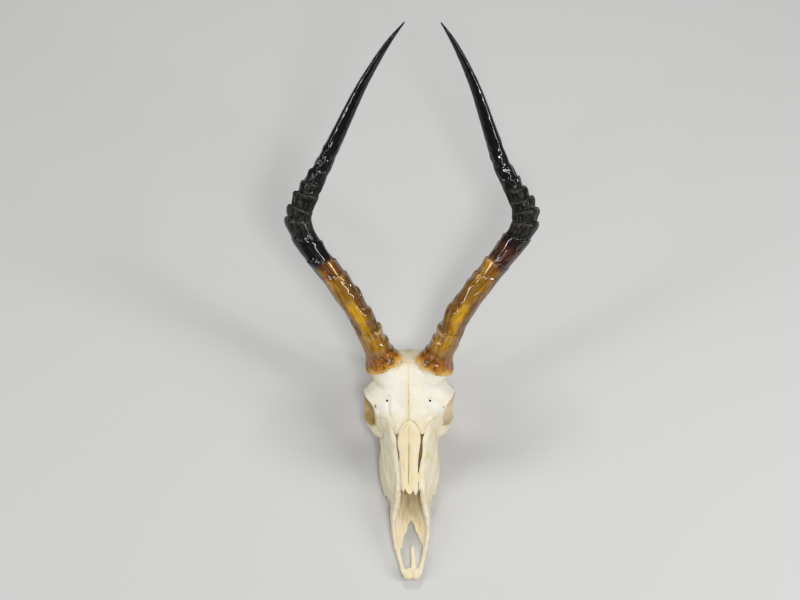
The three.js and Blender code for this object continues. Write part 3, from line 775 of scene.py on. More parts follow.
def hornMesh(name):
    kit = hornSet
    side = sides[name]
    rows = hornRows(name)
    keys = runLength(rows[:, :3])
    full = keys[-1]
    mesh, turn, share, reach = tube(kit["around"], kit["along"])
    at = share * full
    row = smoothRows(keys, rows, at)
    centre, width = row[:, :3], row[:, 3]
    tangent = unit(smoothRows(keys, rows[:, :3], at + 1) - smoothRows(keys, rows[:, :3], at - 1))
    front = unit(faceNormal - tangent * (tangent @ faceNormal)[:, None])
    outward = np.cross(front, tangent)
    outward *= np.sign(outward[:, :1] * side)
    deep = kit["depth"]
    growth = np.clip(at / deep["from"], 0, 1)
    depth = width * (deep["base"] + (deep["shaft"] - deep["base"]) * growth)
    around = np.stack([np.cos(turn) * 20, np.sin(turn) * 20, np.zeros(len(turn))], 1)

    def spots(stretch):
        # places for noise, drawn out along the horn where stretch is small
        return around + np.outer(at, [0, 0, stretch])

    lips = np.array(kit["lips"][name], float)
    waver = noiseAt(spots(0.5), 9, side) * kit["relief"]["waver"]
    slant = smoothRows(lips[:, 0], lips[:, 4:5], at)[:, 0]
    level = at - slant * width * np.sin(turn) * ease(20, 40, at) + waver
    bend = within(kit["parts"]["bend"], level)

    def tallness(height, toward, narrow):
        lean = 0.5 + 0.5 * np.cos(turn - np.radians(toward))
        return height * (0.1 + 0.9 * lean**narrow)

    rise, lipEdge, lipShade, lipPale = np.zeros((4, len(at)))
    start = 0
    for length, height, toward, narrow, _, drop in lips:
        tall = tallness(height, toward, narrow)
        climb = np.clip((level - start) / (length - start), 0, 1)
        past = np.clip(level - length, 0, None)
        rounded = 1 - 0.15 * ease(0.86, 1, climb) - 0.17 * bend * ease(0.7, 1, climb)
        swell = climb ** (2.0 - 0.6 * bend) * rounded
        fall = (0.85 - 0.17 * bend) * (1 - ease(0, drop, past))
        rise = np.maximum(rise, np.where(level <= length, swell, fall) * tall)
        crisp = min(1, 3.4 / drop) * np.clip(tall / 2.2, 0, 1)
        pale = bell(level - length + 1.0, 1.8) * crisp * ease(2.4, 3.6, tall)
        lipEdge = np.maximum(lipEdge, bell(level - length + 0.6, 1.3) * crisp)
        lipPale = np.maximum(lipPale, pale)
        lipShade = np.maximum(lipShade, ease(0.2, 1.4, past) * np.exp(-past / 3.5) * crisp)
        start = length
    middles = np.r_[0, (lips[1:, 0] + lips[:-1, 0]) / 2]
    mean = tallness(*smoothRows(middles, lips[:, 1:4], level).T)
    rise -= mean * (0.3 + 0.14 * bend) * ease(320, 285, at)

    high = kit["relief"]
    part = {label: within(span, at) for label, span in kit["parts"].items()}
    fibre = around * [1, 1, 0] + np.outer(at, [0, 0, 0.05])
    fringe = high["fringe"] * np.abs(noiseAt(fibre, 1.3, 3)) + high["strands"] * noiseAt(fibre, 4.0, 4)
    ledges = noiseAt(spots(2.2), 7, 5 + side) * ease(30, 8, at) * high["ledges"]
    waves = noiseAt(spots(1), 8, 7 + side) * (high["waves"] * part["waves"] + high["shallowWaves"])
    fibres = noiseAt(fibre, 2.2, 9) * (high["bendFibres"] * bend + high["fibres"]) * ease(470, 400, at)
    facets = high["facets"] * np.cos(3 * turn + 0.012 * at) * part["facets"]
    dents = ease(0.12, 0.5, noiseAt(spots(0.55), 9, 11 + side)) * part["dents"]
    knots = noiseAt(spots(0.7), 14, 21 + side) * part["knots"]
    bump = rise + fringe * ease(24, 2, at) + ledges + waves + fibres + facets
    bump += high["knots"] * knots - high["dents"] * dents
    bump *= np.clip(width / 3, 0.1, 1)
    tip = np.sqrt(np.clip((full - at) / 1.2, 0.02, 1))
    flat = (depth + bump) * np.cos(turn) * reach * tip
    wide = (width + bump) * np.sin(turn) * reach * tip
    tatter = high["tatter"] * noiseAt(fibre, 2.0, 13) + high["longTatter"] * noiseAt(fibre, 9, 14)
    tatter *= ease(5, 0, at) * reach
    places = centre + front * flat[:, None] + outward * wide[:, None] - tangent * tatter[:, None]
    setPlaces(mesh, places)

    dark = kit["darkEnd"]
    blotch = noiseAt(spots(0.6), 9, 31) * (4 * ease(130, 60, at) + 7 * bell(at - dark - 4, 26))
    shade = 10 * np.sin(turn) * bell(at - dark, 22)  # the dark part reaches further down outside
    rough = within(kit["parts"]["dull"], level) * (0.6 + 0.4 * np.cos(turn + 0.8))
    setValues(
        mesh,
        zone=np.interp(level + blotch + shade, *zip(*kit["zones"][name])),
        lipEdge=lipEdge,
        lipShade=lipShade,
        lipPale=lipPale,
        # flank is painted shade: the horn's sides darker than its front, as seen square-on to the face
        flank=ease(0.3, 1.0, np.abs(np.sin(turn + 0.15 * side))),
        dull=np.maximum(rough, 0.55 * ease(kit["dullFoot"], 4, level)),
    )
    vector = mesh.attributes.new("hornPlace", "FLOAT_VECTOR", "POINT")
    spot = np.stack([np.cos(turn) * width, np.sin(turn) * width, at], 1) / 1000
    vector.data.foreach_set("vector", spot.astype(np.float32).ravel())
    return mesh


toothSet = {
    # name, middle y, middle x, length, width, number of lobes
    "rows": [
        ("premolar_2", 99.5, 21.8, 7.0, 6.4, 1),
        ("premolar_3", 107.8, 22.8, 8.4, 8.0, 1),
        ("premolar_4", 117.0, 24.2, 8.8, 9.4, 1),
        ("molar_1", 128.6, 25.2, 13.0, 11.6, 2),
        ("molar_2", 143.6, 25.8, 15.6, 12.6, 2),
        ("molar_3", 160.2, 25.2, 16.2, 12.2, 2),
    ],
    "height": 19,
    "fit": 0.96,
    "gap": 0.35,
    "squareness": 0.5,
    "waist": 0.14,  # how far a tooth of two lobes narrows between them
    "ribs": {"outer": 0.05, "inner": 0.03},
    "cusp": 1.4,
    "wear": 1.3,  # depth of the hollows between the enamel crescents
    "around": 96,
    "along": 26,
}


def toothMesh(row, side):
    kit = toothSet
    name, y, x, length, width, lobes = row
    work = workFrom(tube(kit["around"], kit["along"])[0])
    spokes = [
        edge
        for edge in work.edges
        if edge.verts[0].co.z < 0.1 and min(v.co.to_2d().length for v in edge.verts) < 0.1
    ]
    bmesh.ops.subdivide_edges(work, edges=spokes, cuts=9)
    mesh = meshFrom(work, name)
    base = placesOf(mesh)
    reach = np.hypot(base[:, 0], base[:, 1])
    turn = np.arctan2(base[:, 1], base[:, 0])
    up = base[:, 2] + 0.5
    ax, ay = np.cos(turn), np.sin(turn)
    corner = np.maximum(np.abs(ax), np.abs(ay)) ** -kit["squareness"]
    waist = 1 - (kit["waist"] * ax**4 if lobes == 2 else 0)
    wave = 2 * math.pi * lobes * ay
    outer = kit["ribs"]["outer"] * np.cos(wave * 1.05)
    inner = kit["ribs"]["inner"] * np.cos(wave)
    ribs = np.where(ax * side > 0, outer, inner) * np.abs(ax) ** 0.6
    taper = 1 - 0.05 * ease(0.55, 0, up) - 0.06 * ease(0.75, 1, up)
    half = np.array([width * kit["fit"] / 2, (length * kit["fit"] - kit["gap"]) / 2])
    px = half[0] * ax * corner * waist * (1 + ribs) * taper * reach
    py = half[1] * ay * corner * taper * reach
    # crescents of enamel stand out of the worn chewing surface
    span = half[1] / lobes
    local = (py + half[1]) % (2 * span) - span if lobes == 2 else py
    crescent = np.hypot(local / span, (px * side - 0.06 * width) / (0.32 * width))
    ridge = bell(crescent - 0.75, 0.16)
    rim = ease(0.8, 0.95, reach)
    low = up < 0.001
    sink = kit["wear"] * (1 - np.maximum(ridge, rim)) * ease(1.0, 0.93, reach)
    sink = np.where(low, sink, 0)
    cusp = kit["cusp"] * ease(0.25, 1, np.abs(local / span)) * ease(0.2, 0, up)
    cusp *= ease(0, 0.7, ax * side * reach)
    setPlaces(mesh, np.stack([side * x + px, y + py, kit["height"] * up + sink + cusp], 1))
    setValues(mesh, worn=np.where(low, ease(0.35, 1.0, sink), 0) * 0.9)
    return leaned(mesh)


skullSet = {
    # y, then top middle, top edge, brow, cheek, lower cheek, tooth ridge and bottom middle
    "stations": [
        (36, 0, 21, 12, 22, 17, 21, 20, 19, 19.5, 16.5, 15, 15.3, 0, 16.2),
        (48, 0, 26, 12, 27, 18, 26, 21.5, 22, 21, 17, 16, 15, 0, 16.5),
        (62, 0, 33, 12, 33, 19, 32, 22.5, 27, 22.5, 20, 17.5, 15.5, 0, 17.5),
        (78, 0, 42, 13, 41, 19.5, 38, 23.5, 30, 24.5, 22, 21, 14.5, 0, 18),
        (92, 0, 49.5, 13, 48.5, 18.5, 43, 22.6, 33, 23.8, 24, 22.5, 13.8, 0, 19),
        (110, 0, 57, 13, 56.5, 20.5, 49, 28, 36, 31.6, 25, 28.5, 13, 0, 20),
        (125, 0, 63.5, 13, 62.5, 22.5, 54, 31, 38, 35.4, 26, 32, 13, 0, 21),
        (140, 0, 70.5, 14, 69.5, 24.5, 60, 33, 41, 36, 27, 33.5, 13, 0, 22),
        (155, 0, 78, 15, 77, 26.5, 67, 33.5, 46, 35, 30, 33, 14, 0, 22),
        (168, 0, 85, 17, 84, 29.5, 75, 35, 56, 34, 36, 31, 16, 0, 22),
        (179, 0, 91, 20, 90, 35, 82, 36, 66, 31, 44, 24, 23, 0, 23),
        (188, 0, 95.5, 22, 94.5, 40, 87, 31, 70, 25, 48, 17, 30, 0, 28),
        (196, 0, 99, 24, 98, 45.2, 90, 30, 76, 24, 50, 15, 33, 0, 31),
        (205, 0, 102.5, 25, 102, 49, 90, 30, 77, 25, 52, 15, 34, 0, 32),
        (215, 0, 107, 26, 107, 52, 86.5, 33, 76, 29, 54, 16, 34, 0, 32),
        (225, 0, 110.5, 24, 111, 38.5, 100, 36, 80, 32, 56, 18, 34, 0, 32),
        (240, 0, 109.5, 20, 108, 34, 98, 37, 76, 33, 51, 19, 33, 0, 31),
        (251, 0, 104, 18, 102, 30, 91, 35, 71, 31, 49, 20, 32, 0, 30),
        (260, 0, 95.5, 16, 93.5, 27, 83, 32, 66, 28, 46, 18, 32, 0, 30),
        (266.5, 0, 86, 13, 84, 22, 75, 27, 61, 24, 45, 15, 35, 0, 34),
    ],
    "passage": [
        (28, 0, 60, 15, 58, 17, 27, 13, 19.7, 0, 19.7),
        (48, 0, 60, 17, 58, 18.6, 28, 15, 19.8, 0, 20),
        (66, 0, 62, 16.5, 60, 18.6, 32, 16, 20.5, 0, 21),
        (80, 0, 64, 13.5, 62, 17.5, 36, 17, 22, 0, 22.5),
        (94, 0, 62, 12, 58, 16.5, 38, 17, 23, 0, 24),
        (106, 0, 52.5, 9, 52, 17, 38, 18, 24, 0, 25),
        (125, 0, 60, 9.5, 59, 18, 42, 19, 26, 0, 27),
        (145, 0, 69, 10, 68, 17, 46, 17, 30, 0, 31),
        (160, 0, 74, 8, 73, 12, 54, 10, 38, 0, 36),
    ],
    # the two nasal bones together: y, half width, top z
    "nasals": [
        (91, 7.4, 55.8),
        (94.5, 9.6, 57.2),
        (104, 10.8, 60.2),
        (121, 11, 64.9),
        (138, 12.4, 71.4),
        (152, 13.6, 78.8),
        (160, 11.5, 83.4),
        (166, 6.5, 86.6),
        (169.5, 2, 88),
    ],
    "nasalThickness": 4.2,
    "rim": [
        (33, 170, 63, 3.0, 3.4),
        (36.4, 176, 69.5, 2.6, 3),
        (37.6, 182.5, 80, 2.6, 3),
        (39.6, 188, 86, 2.6, 2.8),
        (44.6, 196, 89.4, 2.4, 2.6),
        (49.2, 203.5, 88.4, 2.8, 2.8),
        (51.4, 213.5, 84.6, 3.2, 3.2),
        (51.8, 218, 71, 3.2, 4),
        (50.8, 213, 58.5, 3.6, 4),
        (50, 203, 50.5, 3.4, 4),
        (50.6, 191, 47, 2.6, 4.2),
        (46.6, 183, 49, 3, 4.6),
        (41, 175, 55, 3.6, 5),
        (33, 167, 58, 4, 5.5),
    ],
    "limbs": {
        "cheekArch": [(51.6, 208, 54, 2.2, 4), (50.5, 220, 52, 2.2, 4.2), (46, 232, 52, 2.4, 4),
                      (39, 242, 53, 3.4, 4), (30, 250, 54, 4, 5)],
        "muzzleSide": [(4, 3.5, 10.6, 3.2, 2.8), (8.6, 8, 11, 3.2, 3), (12.4, 20, 13, 2.6, 3.2),
                       (16, 34, 16.2, 2.9, 4), (19, 48, 20.5, 2.8, 5), (20.4, 62, 26.5, 3, 5.8),
                       (19, 74, 33, 3.6, 5.4), (16.6, 85, 41.5, 3.8, 4.6), (14.4, 97, 49.8, 4, 4),
                       (14.4, 108, 55, 3.6, 3), (15.6, 119, 59, 2, 2)],
        "muzzleTip": [(4.5, 0.6, 10.4, 3, 1.6), (4.6, 3.5, 10.6, 5.1, 3.2), (5, 9, 11, 5.3, 3.4),
                      (6.6, 15, 11.8, 3, 2.2)],
        "palateWing": [(12, 166, 22, 2.4, 7), (11.5, 180, 25, 1.9, 9.5), (10.5, 194, 28, 1.8, 8),
                       (10, 207, 33, 2, 5)],
        "napeProcess": [(25, 252, 48, 6, 7), (26.5, 259, 32, 5, 6), (26, 265, 14, 3.8, 4.6),
                        (25, 268, 0, 2.8, 3.4)],
        "hornBoss": [(20, 206, 94, 12, 8), (24, 220, 99, 16, 12), (28.5, 232, 103.5, 18, 15.5),
                     (31.4, 241, 108, 18.5, 17)],
        "earTube": [(22, 240, 42, 4, 4), (33, 243, 45, 4.2, 4.4)],
    },
    "balls": [
        ((37, 199.5, 66.5), (18, 23, 24)),  # the socket's wall
        ((13.5, 271, 31), (9, 9.5, 14)),  # where the neck joined
        ((18, 236, 24), (8, 12, 11)),  # ear bone
    ],
    "socketHollow": ((49, 196.5, 68), (21, 19.5, 19.5)),
    "palateSpur": [(2.4, 6, 10.6, 3, 2), (2.5, 16, 11.4, 3, 2), (2.3, 31, 12.8, 2.9, 1.9),
                   (1.9, 42.5, 14, 2, 1.4)],
    "brokenSpur": [(2.6, 5, 10.6, 2.4, 2), (2.9, 16.5, 11.6, 2, 1.8)],
    "vomer": [(0, 77, 20.5, 1.4, 1.4), (0, 88, 22, 1.8, 2.6), (0, 110, 25, 2.4, 5),
              (0, 150, 34, 2, 10)],
    "scroll": [(8, 104, 42, 5, 8), (9, 130, 46, 6, 10), (7, 152, 54, 5, 9)],
    "palateNotch": [(0.6, 75.5), (-0.6, 72.5), (-3.3, 66), (-4.5, 59.5), (-8.2, 52.5), (-9.6, 45),
                    (-9.8, 39.5), (-14, 36.5), (-14, 20), (14, 20), (17, 36), (14.3, 41),
                    (10.8, 46), (9.6, 52.5), (6.1, 59), (3.9, 66), (1.8, 72.5)],
    "napeHole": ((0, 272, 41), (9.5, 26, 8.1)),
    "throat": ((0, 190, 25), (7.5, 22, 9)),
    "voxel": 1.16,
    # low forms of the surface: how high each stands, or sinks in where it is negative, and its
    # half width
    "forms": {
        "browGroove": (-1.1, 1.8),
        "browHollow": (-0.8, 4),
        "midRidge": (0.5, 3.5),
        "foreheadDip": (-0.9, 7),
        "cheekCrest": (1.1, 3.0),
        "templeCrest": (1.2, 2.2),
        "coronalDip": (-0.3, 1.2),
        "noseRidge": (0.8, 2.2),
        "noseFurrow": (-0.6, 2.4),
        "nuchalRidge": (1.5, 2.6),
        "nuchalMiddle": (1.0, 2.2),
    },
    # the middle lines of some of them: from above by |x| and y, from the side by y and z
    "formLines": {
        "browGroove": [(26, 193), (25.5, 184), (23.5, 174)],
        "noseRidge": [(25, 174), (21.5, 156), (19, 138), (17.5, 120)],
        "cheekCrest": [(112, 40), (135, 43), (160, 50), (172, 56)],
        "templeCrest": [(256, 99), (262, 88), (262, 72), (258, 58)],
    },
    # unevenness of all of the bone: height, size and seed
    "unevenness": [(0.7, 24, 1), (0.5, 9, 2), (0.16, 3.2, 3)],
    # slots: outline, low and high z where y is 0, the slope along y, and how much painted shade darkens
    # them inside
    "slots": [
        ([(-17.9, 160.8), (-16.2, 156), (-15.4, 151), (-15.6, 146), (-14.4, 140.5), (-13.9, 136),
          (-12.9, 129.5), (-12.3, 129.5), (-12.2, 135), (-12.6, 140.5), (-14.4, 146), (-14.2, 151),
          (-13.9, 156), (-12.9, 160.6), (-15.3, 158.6)], 0.6, 30, 0.48, 0.5),
        ([(17.9, 160.8), (15.8, 155.5), (15.3, 150), (15.6, 143), (14.8, 136), (13, 130), (11.4, 122),
          (10.5, 117), (9.5, 117.4), (9.7, 124), (10, 131), (10.6, 137), (11.9, 143.5), (13.2, 150),
          (13.2, 155.5), (12.6, 160.4), (15, 158.8)], -0.4, 30, 0.48, 0.64),
        ([(10.3, 107), (9.9, 100), (9.6, 88), (8.8, 88), (9.3, 100), (9.9, 107)], 46, 70, 0, 0.7),
        ([(-10.4, 84), (-10.4, 97.5), (-9.4, 97), (-8.6, 94.6), (-7.6, 94.4), (-6.6, 98.4), (-5.4, 96),
          (-3, 93), (-1, 92), (1.4, 93), (3.5, 96.2), (4.6, 93.4), (5.8, 91), (6.9, 90.8), (7.7, 93),
          (8.5, 95.4), (9.2, 92.6), (9.9, 91.4), (10.4, 94), (10.4, 84)], 46, 70, 0, 0.2),
    ],
    # holes: centre, radii and depth
    "brow": {"left": (-26.9, 194, 98), "right": (24.5, 194, 98.5), "radius": (1.8, 1.8), "depth": 9},
    "pits": [(-1.0, 212), (-0.8, 190), (-1.1, 179), (26.5, 198.5), (22.8, 197.5), (26.8, 176),
             (29.5, 177)],
    "cheekHole": {"at": (26.6, 102, 21.5), "radius": (1.5, 2.4), "depth": 5},
    # fine channels where bones meet, seen from above: points, half width, depth, jaggedness and how
    # dark they are inside, which is the joint's own colour deepened with painted shade in the deeper
    # channels
    "sutures": [
        ([(-0.9, 175), (-0.9, 185), (-1, 196)], 0.24, 0.6, 0.5, 0.5),
        ([(-0.9, 197), (-0.9, 213)], 0.2, 0.4, 0.4, 0.35),
        ([(-0.9, 214), (-0.8, 226), (-0.8, 238)], 0.1, 0.2, 0.3, 0.2),
        ([(-0.9, 166), (-0.8, 157), (-0.7, 147)], 0.12, 0.3, 0.1, 0.4),
        ([(-0.7, 149), (-1, 132), (-1.6, 116), (-2, 103.5)], 0.3, 1.7, 0.02, 0.7),
        ([(-0.1, 173.8), (-3.6, 173), (-8, 169.6), (-11, 165.4), (-14.4, 160.2)], 0.26, 0.5, 0.3, 0.4),
        ([(0.1, 173.6), (4.6, 172.2), (8.4, 168.8), (11, 165), (14, 160.2)], 0.26, 0.5, 0.3, 0.4),
        ([(-38, 178.8), (-32, 178.2), (-26.6, 176.8), (-22, 170), (-17.4, 161)], 0.2, 0.35, 0.4, 0.3),
        ([(17.2, 161), (19.6, 168), (28, 176.4), (37.4, 182)], 0.2, 0.35, 0.55, 0.3),
        # these two are slits under the brow's edge, dark inside as a painted shadow line
        ([(-41.8, 192.8), (-40.4, 190), (-39.4, 187.6)], 0.9, 2.2, 0.1, 0.8),
        ([(41.6, 191), (39.8, 188)], 0.7, 1.6, 0.1, 0.65),
        ([(-11.6, 126), (-11.4, 112), (-10.2, 97)], 0.2, 0.45, 0.15, 0.35),
        ([(-18.6, 116), (-19.4, 104), (-19, 94)], 0.16, 0.3, 0.2, 0.25),
        ([(18.6, 116), (19.4, 104), (19, 94)], 0.16, 0.3, 0.2, 0.25),
    ],
    "tintedSutures": 9,  # so many, from the first one, are soft lines of colour too
    # soft lines, seen from the side: y, z points, strength and width
    "sideSeams": [
        ([(168, 74), (162, 62), (164, 52), (160, 44)], 0.6, 0.8),
        ([(176, 50), (168, 46), (160, 38), (150, 34)], 0.5, 0.8),
        ([(206, 48), (214, 52), (222, 57)], 0.7, 0.8),
        ([(209, 78), (214, 72), (220, 69)], 0.6, 0.8),
        ([(236, 96), (240, 82), (238, 66), (243, 54)], 0.5, 0.9),
        ([(78, 40), (92, 32), (98, 20)], 0.5, 0.8),
        ([(222, 100), (228, 88), (226, 74), (232, 62)], 0.4, 0.9),
    ],
    "coronal": [(0, 238), (8, 239.5), (18, 242), (27, 247)],
    "stainSpots": [(21.3, 137.6, 5)],  # x, y and reach
}


def nasalBones():
    stations = []
    for y, half, top in skullSet["nasals"]:
        under = top - skullSet["nasalThickness"]
        upper = (0, top - 0.5, 0.45 * half, top + 0.2, half, top - 1.7)
        stations.append((y, *upper, 0.9 * half, under + 0.3, 0, under))
    return hull(stations, 60, 48)


def skullSolid():
    # everything that is bone, less its large hollows, as one even mesh
    kit = skullSet
    passage = hull(kit["passage"], 60, 48)
    notch = prism(ragged(kit["palateNotch"], 1.3, 0.9, 4), 5, 60)
    shell = cutFrom(hull(kit["stations"], 170, 120), [passage.copy(), notch], "shell")
    parts = [shell, nasalBones()]
    parts += [limb(kit["palateSpur"]), limb(kit["brokenSpur"], -1), limb(kit["vomer"])]
    for side in sides.values():
        parts += [limb(stops, side) for stops in kit["limbs"].values()]
        parts += [limb(kit["rim"], side), limb(kit["scroll"], side)]
        parts += [ball(at, size, side) for at, size in kit["balls"]]
    bone = remeshed(meshFrom(workFrom(*parts), "bone", outward=False), 1.0)
    print("bone joined", len(bone.vertices))
    sockets = {name: ball(*kit["socketHollow"], side, 5) for name, side in sides.items()}
    nape = ball(*kit["napeHole"])
    foot = prism([(-60, 240), (60, 240), (60, 290), (-60, 290)], -20, 0)
    cutters = [nape.copy(), ball(*kit["throat"]), foot, *(s.copy() for s in sockets.values())]
    bone = remeshed(cutFrom(bone, cutters, "skull"), kit["voxel"])
    print("bone hollowed", len(bone.vertices))
    return bone, {"passage": passage, "nape": nape, **sockets}


def sculptSkull(bone):
    # low forms too fine for the solids: grooves, crests and the unevenness of real bone
    kit = skullSet
    relax(bone, 4)
    places = placesOf(bone)
    x, y, z = places.T
    normal = normalsOf(bone)
    topward = ease(0.15, 0.5, normal[:, 2])
    sideward = ease(0.3, 0.6, np.abs(normal[:, 0]))

    def form(name, distance):
        height, width = kit["forms"][name]
        return height * bell(distance, width)

    def fromAbove(name):
        return form(name, lineDistance(np.abs(x), y, kit["formLines"][name]))

    def fromSide(name):
        return form(name, lineDistance(y, z, kit["formLines"][name]))

    shape = fromAbove("browGroove") * topward * ease(172, 178, y)
    shape += form("browHollow", np.hypot(np.abs(x) - 26, y - 195)) * topward
    shape += form("midRidge", x) * topward * ease(168, 180, y) * ease(262, 240, y)
    shape += form("foreheadDip", np.abs(x) - 14) * topward * ease(176, 190, y) * ease(222, 206, y)
    shape += fromSide("cheekCrest") * sideward * ease(18, 26, np.abs(x))
    shape += fromSide("templeCrest") * sideward
    coronal = form("coronalDip", lineDistance(np.abs(x), y, kit["coronal"]))
    shape += (0.35 * ease(-1.5, 1.5, y - 239 - 0.3 * np.abs(x)) + coronal) * topward
    floor = ease(0.4, 0.8, normal[:, 2]) * ease(34, 26, z) * ease(30, 50, y) * ease(120, 100, y)
    shape += 0.8 * floor * noiseAt(places * [1, 0.08, 0], 2.6, 8)
    ridge = lineDistance(np.abs(x), y, kit["formLines"]["noseRidge"])
    shape += form("noseRidge", ridge) * topward
    shape += form("noseFurrow", ridge - 5) * ease(150, 165, y) * topward
    fibres = 0.3 * noiseAt(places * [1, 0.12, 1], 2.4, 6) + 0.6 * noiseAt(places * [1, 0.15, 1], 6, 9)
    shape += ease(172, 150, y) * fibres
    for height, size, seed in kit["unevenness"]:
        shape += height * noiseAt(places, size, seed)
    backward = ease(0.35, 0.8, normal[:, 1]) * ease(250, 258, y)
    shape += backward * form("nuchalRidge", z - 82 + 0.02 * x * x)
    shape += backward * form("nuchalMiddle", x) * ease(52, 62, z)
    shape -= backward * 1.6 * bell(np.abs(x) - 11, 6) * bell(z - 68, 11)
    under = ease(222, 234, y) * ease(66, 56, z)
    shape += under * (1.1 * noiseAt(places, 7, 12) + 0.5 * noiseAt(places * [1, 0.4, 1], 3.4, 13))
    setPlaces(bone, places + normal * shape[:, None])
    relax(bone, 1)


def cutDetail(bone):
    # the bone with its fine slots, holes and sutures, and how dark each new face is: painted shade
    # inside slots and holes, the joints' own colour in sutures
    kit = skullSet
    tree = treeOf(bone)
    cutters = []
    for k, (outline, low, high, slope, dark) in enumerate(kit["slots"]):
        cutters.append((dark, prism(ragged(outline, 1.0, 0.3, 20 + k), low, high, slope)))
    brow, cheek = kit["brow"], kit["cheekHole"]
    for k, (name, side) in enumerate(sides.items()):
        cutters.append((1.0, drill(brow[name], brow["radius"], brow["depth"], k)))
        away = (side, -0.3, -0.25)
        cutters.append((0.9, drill(cheek["at"], cheek["radius"], cheek["depth"], 3 + k, side, away)))
    for k, (x, y) in enumerate(kit["pits"]):
        spot = tree.ray_cast(Vector((x, y, 200)), Vector((0, 0, -1)))[0]
        size = 0.45 + 0.12 * math.sin(5 * k)
        cutters.append((0.75, drill(spot, (size, size), 1.6, 9 + k)))
    for k, (line, width, depth, jag, dark) in enumerate(kit["sutures"]):
        cutters.append((dark, groove(tree, line, width, depth, jag, 3 * k)))
    bone = withoutCrumbs(cutFrom(bone, [cutter.copy() for _, cutter in cutters], "skull"))
    bone.set_sharp_from_angle(angle=math.radians(45))
    middles = np.empty(len(bone.polygons) * 3)
    bone.polygons.foreach_get("center", middles)
    middles = middles.reshape(-1, 3)
    # each face that a cutter made takes its darkness: painted shade in slots and holes, a joint's
    # colour in sutures
    cut = np.zeros(len(middles))
    for dark, cutter in cutters:
        cut = np.maximum(cut, dark * (nearness(middles, cutter, 0.03) > 0.3))
        bpy.data.meshes.remove(cutter)
    setValues(bone, "FACE", cut=cut)
    print("detail cut", len(bone.vertices))
    return bone


# where the bone is stained, warm or grey, and where shade is painted on it: in the passage, the sockets
# and the nape hole, and on the left cheek
def tintSkull(bone, hollows):
    # where the bone is stained, warm, grey or dark
    kit = skullSet
    places = placesOf(bone)
    normal = normalsOf(bone)
    x, y, z = places.T
    near = {name: nearness(places, mesh, 3.0) for name, mesh in hollows.items()}
    topward = ease(0.15, 0.5, normal[:, 2])
    sideward = ease(0.3, 0.6, np.abs(normal[:, 0]))
    down = ease(0.1, -0.5, normal[:, 2])
    wobble = 0.45 * np.sin(2.3 * y + 1.4 * np.sin(0.8 * y)) + 0.3 * np.sin(5.1 * y + x)
    seam = 0.35 * bell(lineDistance(np.abs(x), y + wobble, kit["coronal"]), 1.2) * topward
    for line, _, _, _, dark in kit["sutures"][: kit["tintedSutures"]]:
        seam = np.maximum(seam, 0.45 * dark * bell(lineDistance(x, y, line), 1.5) * topward)
    for line, strength, width in kit["sideSeams"]:
        far = lineDistance(y + wobble * 0.5, z + 0.5 * np.sin(3 * y), line)
        seam = np.maximum(seam, strength * bell(far, width) * sideward)
    nasalTop = np.interp(y, [row[0] for row in kit["nasals"]], [row[2] for row in kit["nasals"]])
    onNasals = ease(-2.6, -1.2, z - nasalTop) * ease(13, 11, np.abs(x)) * ease(88, 91, y)
    inside = np.clip(near["passage"] * 1.8, 0, 1) * (1 - onNasals)
    patches = ease(-0.3, 0.5, noiseAt(places, 12, 5))
    fibres = noiseAt(places * [1, 0.12, 1], 2.0, 6)
    # painted shade with the tan of the bone inside the passage
    hollowTanAndShade = inside * (0.08 + 0.16 * ease(74, 92, y)) + 0.5 * inside * fibres
    # painted shade in the eye sockets, heavier in the left one
    hollowTanAndShade += np.clip(near["left"] * 1.6, 0, 1) * (0.8 + 0.2 * patches)
    hollowTanAndShade += np.clip(near["right"] * 1.6, 0, 1) * (0.42 + 0.2 * patches)
    # darker tan on faces that look down and at the back, and painted shade round the nape hole
    hollowTanAndShade += 0.28 * down + 0.22 * ease(236, 262, y) * patches + 0.8 * near["nape"]
    forehead = topward * ease(172, 186, y) * ease(238, 222, y)
    strip = bell(x + 0.9, 4.5) * ease(250, 200, y)
    nasal = topward * ease(14, 10, np.abs(x)) * ease(172, 160, y)
    warmth = 0.42 - 0.42 * forehead + 0.4 * strip + 0.22 * nasal + 0.3 * down + 0.15 * patches
    warmth -= 0.3 * ease(50, 42, y) * ease(7, 5, np.abs(x - 2.2)) * ease(2, 10, y)
    back = ease(236, 248, y) * ease(60, 90, z)
    cheek = sideward * ease(178, 165, y) * ease(70, 90, y)
    # grey patches at the back; on the cheeks grey with painted shade, heavier on the left cheek
    greyAndShade = 0.45 * back * patches + 0.4 * cheek * np.where(x < 0, 1, 0.4) * (0.6 + 0.6 * fibres)
    stain = np.zeros(len(x))
    for spotX, spotY, reach in kit["stainSpots"]:
        stain = np.maximum(stain, 0.6 * bell(np.hypot(x - spotX, y - spotY), reach))
    tints = {"hollowTanAndShade": hollowTanAndShade, "warmth": warmth, "seam": seam, "greyAndShade": greyAndShade, "stain": stain * topward}
    setValues(bone, **{name: np.clip(value, 0, 1) for name, value in tints.items()})
    for mesh in hollows.values():
        bpy.data.meshes.remove(mesh)


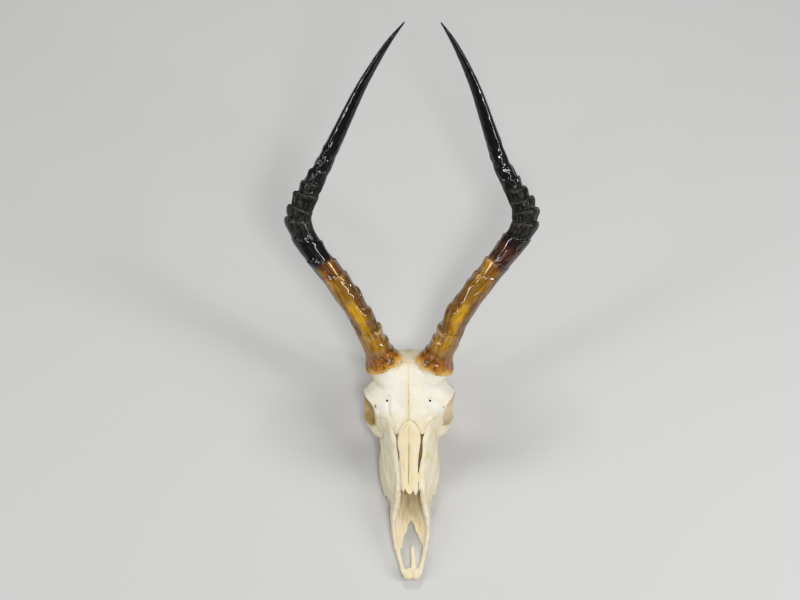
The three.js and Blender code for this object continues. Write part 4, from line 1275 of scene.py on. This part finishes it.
stageSet = {
    "floor": {"colour": (0.62, 0.62, 0.61), "roughness": 0.9, "size": 6},
    "target": (-11.3, 303.2, 147.7),
    "distance": 2500,
    "lens": 94.54,  # for the distance above
    "sensor": 36,
    "farthest": 50,
    "world": 0.15,
    # place, width and length, and power; all of them aim at the same spot
    "lights": {
        "stripLeft": ((-1.38, -0.47, 1.17), (0.12, 1.3), 8),
        "stripRight": ((1.38, -0.47, 1.17), (0.12, 1.3), 13),
        "front": ((0.2, -0.98, 2.0), (0.42, 0.36), 17.5),
        "behind": ((-0.1, 1.2, 1.9), (0.8, 0.3), 14),
    },
    "aim": (0, 0, 0.15),
}


def stage():
    kit = stageSet["floor"]
    work = bmesh.new()
    bmesh.ops.create_grid(work, x_segments=8, y_segments=8, size=kit["size"])
    floor = objectFrom(meshFrom(work, "floor"), "floor")
    material, _, shader = newMaterial("paper")
    shader.inputs["Base Color"].default_value = (*kit["colour"], 1)
    shader.inputs["Roughness"].default_value = kit["roughness"]
    floor.data.materials.append(material)


def lights():
    kit = stageSet
    for name, (place, size, power) in kit["lights"].items():
        lamp = bpy.data.lights.new(name, "AREA")
        lamp.shape = "RECTANGLE"
        lamp.size, lamp.size_y = size
        lamp.energy = power
        holder = objectFrom(lamp, name)
        holder.location = place
        aim = Vector(kit["aim"]) - Vector(place)
        holder.rotation_euler = aim.to_track_quat("-Z", "Y").to_euler()
    world = bpy.data.worlds.new("studio")
    world.use_nodes = True
    background = world.node_tree.nodes["Background"].inputs
    background["Color"].default_value = (1, 1, 1, 1)
    background["Strength"].default_value = kit["world"]
    bpy.context.scene.world = world
    bpy.context.scene.view_settings.view_transform = "Standard"


def camera():
    kit = stageSet
    lens = bpy.data.cameras.new("camera")
    lens.lens = kit["lens"]
    lens.sensor_width = kit["sensor"]
    lens.clip_end = kit["farthest"]
    holder = objectFrom(lens, "camera")
    target = (Vector(kit["target"]) + ownFrame) / 1000
    holder.location = target + Vector(faceNormal) * kit["distance"] / 1000
    holder.rotation_euler = (math.pi / 2 - faceTilt, 0, 0)
    bpy.context.scene.camera = holder


camera()
stage()
lights()
print("stage set")

horn = hornMaterial()
for name in sides:
    finishPiece(f"hornSheath_{name}", hornMesh(name), horn, [f"horn_{name}"])
print("horns made")

enamel = toothMaterial()
for name, side in sides.items():
    for row in toothSet["rows"]:
        node = f"{row[0]}_{name}"
        finishPiece(f"crown_{node}", toothMesh(row, side), enamel, [node])
print("teeth made")

bone, hollows = skullSolid()
sculptSkull(bone)
bone = cutDetail(bone)
tintSkull(bone, hollows)
finishPiece("skullBone", leaned(bone), boneMaterial(), ["skull"])
print("skull made")
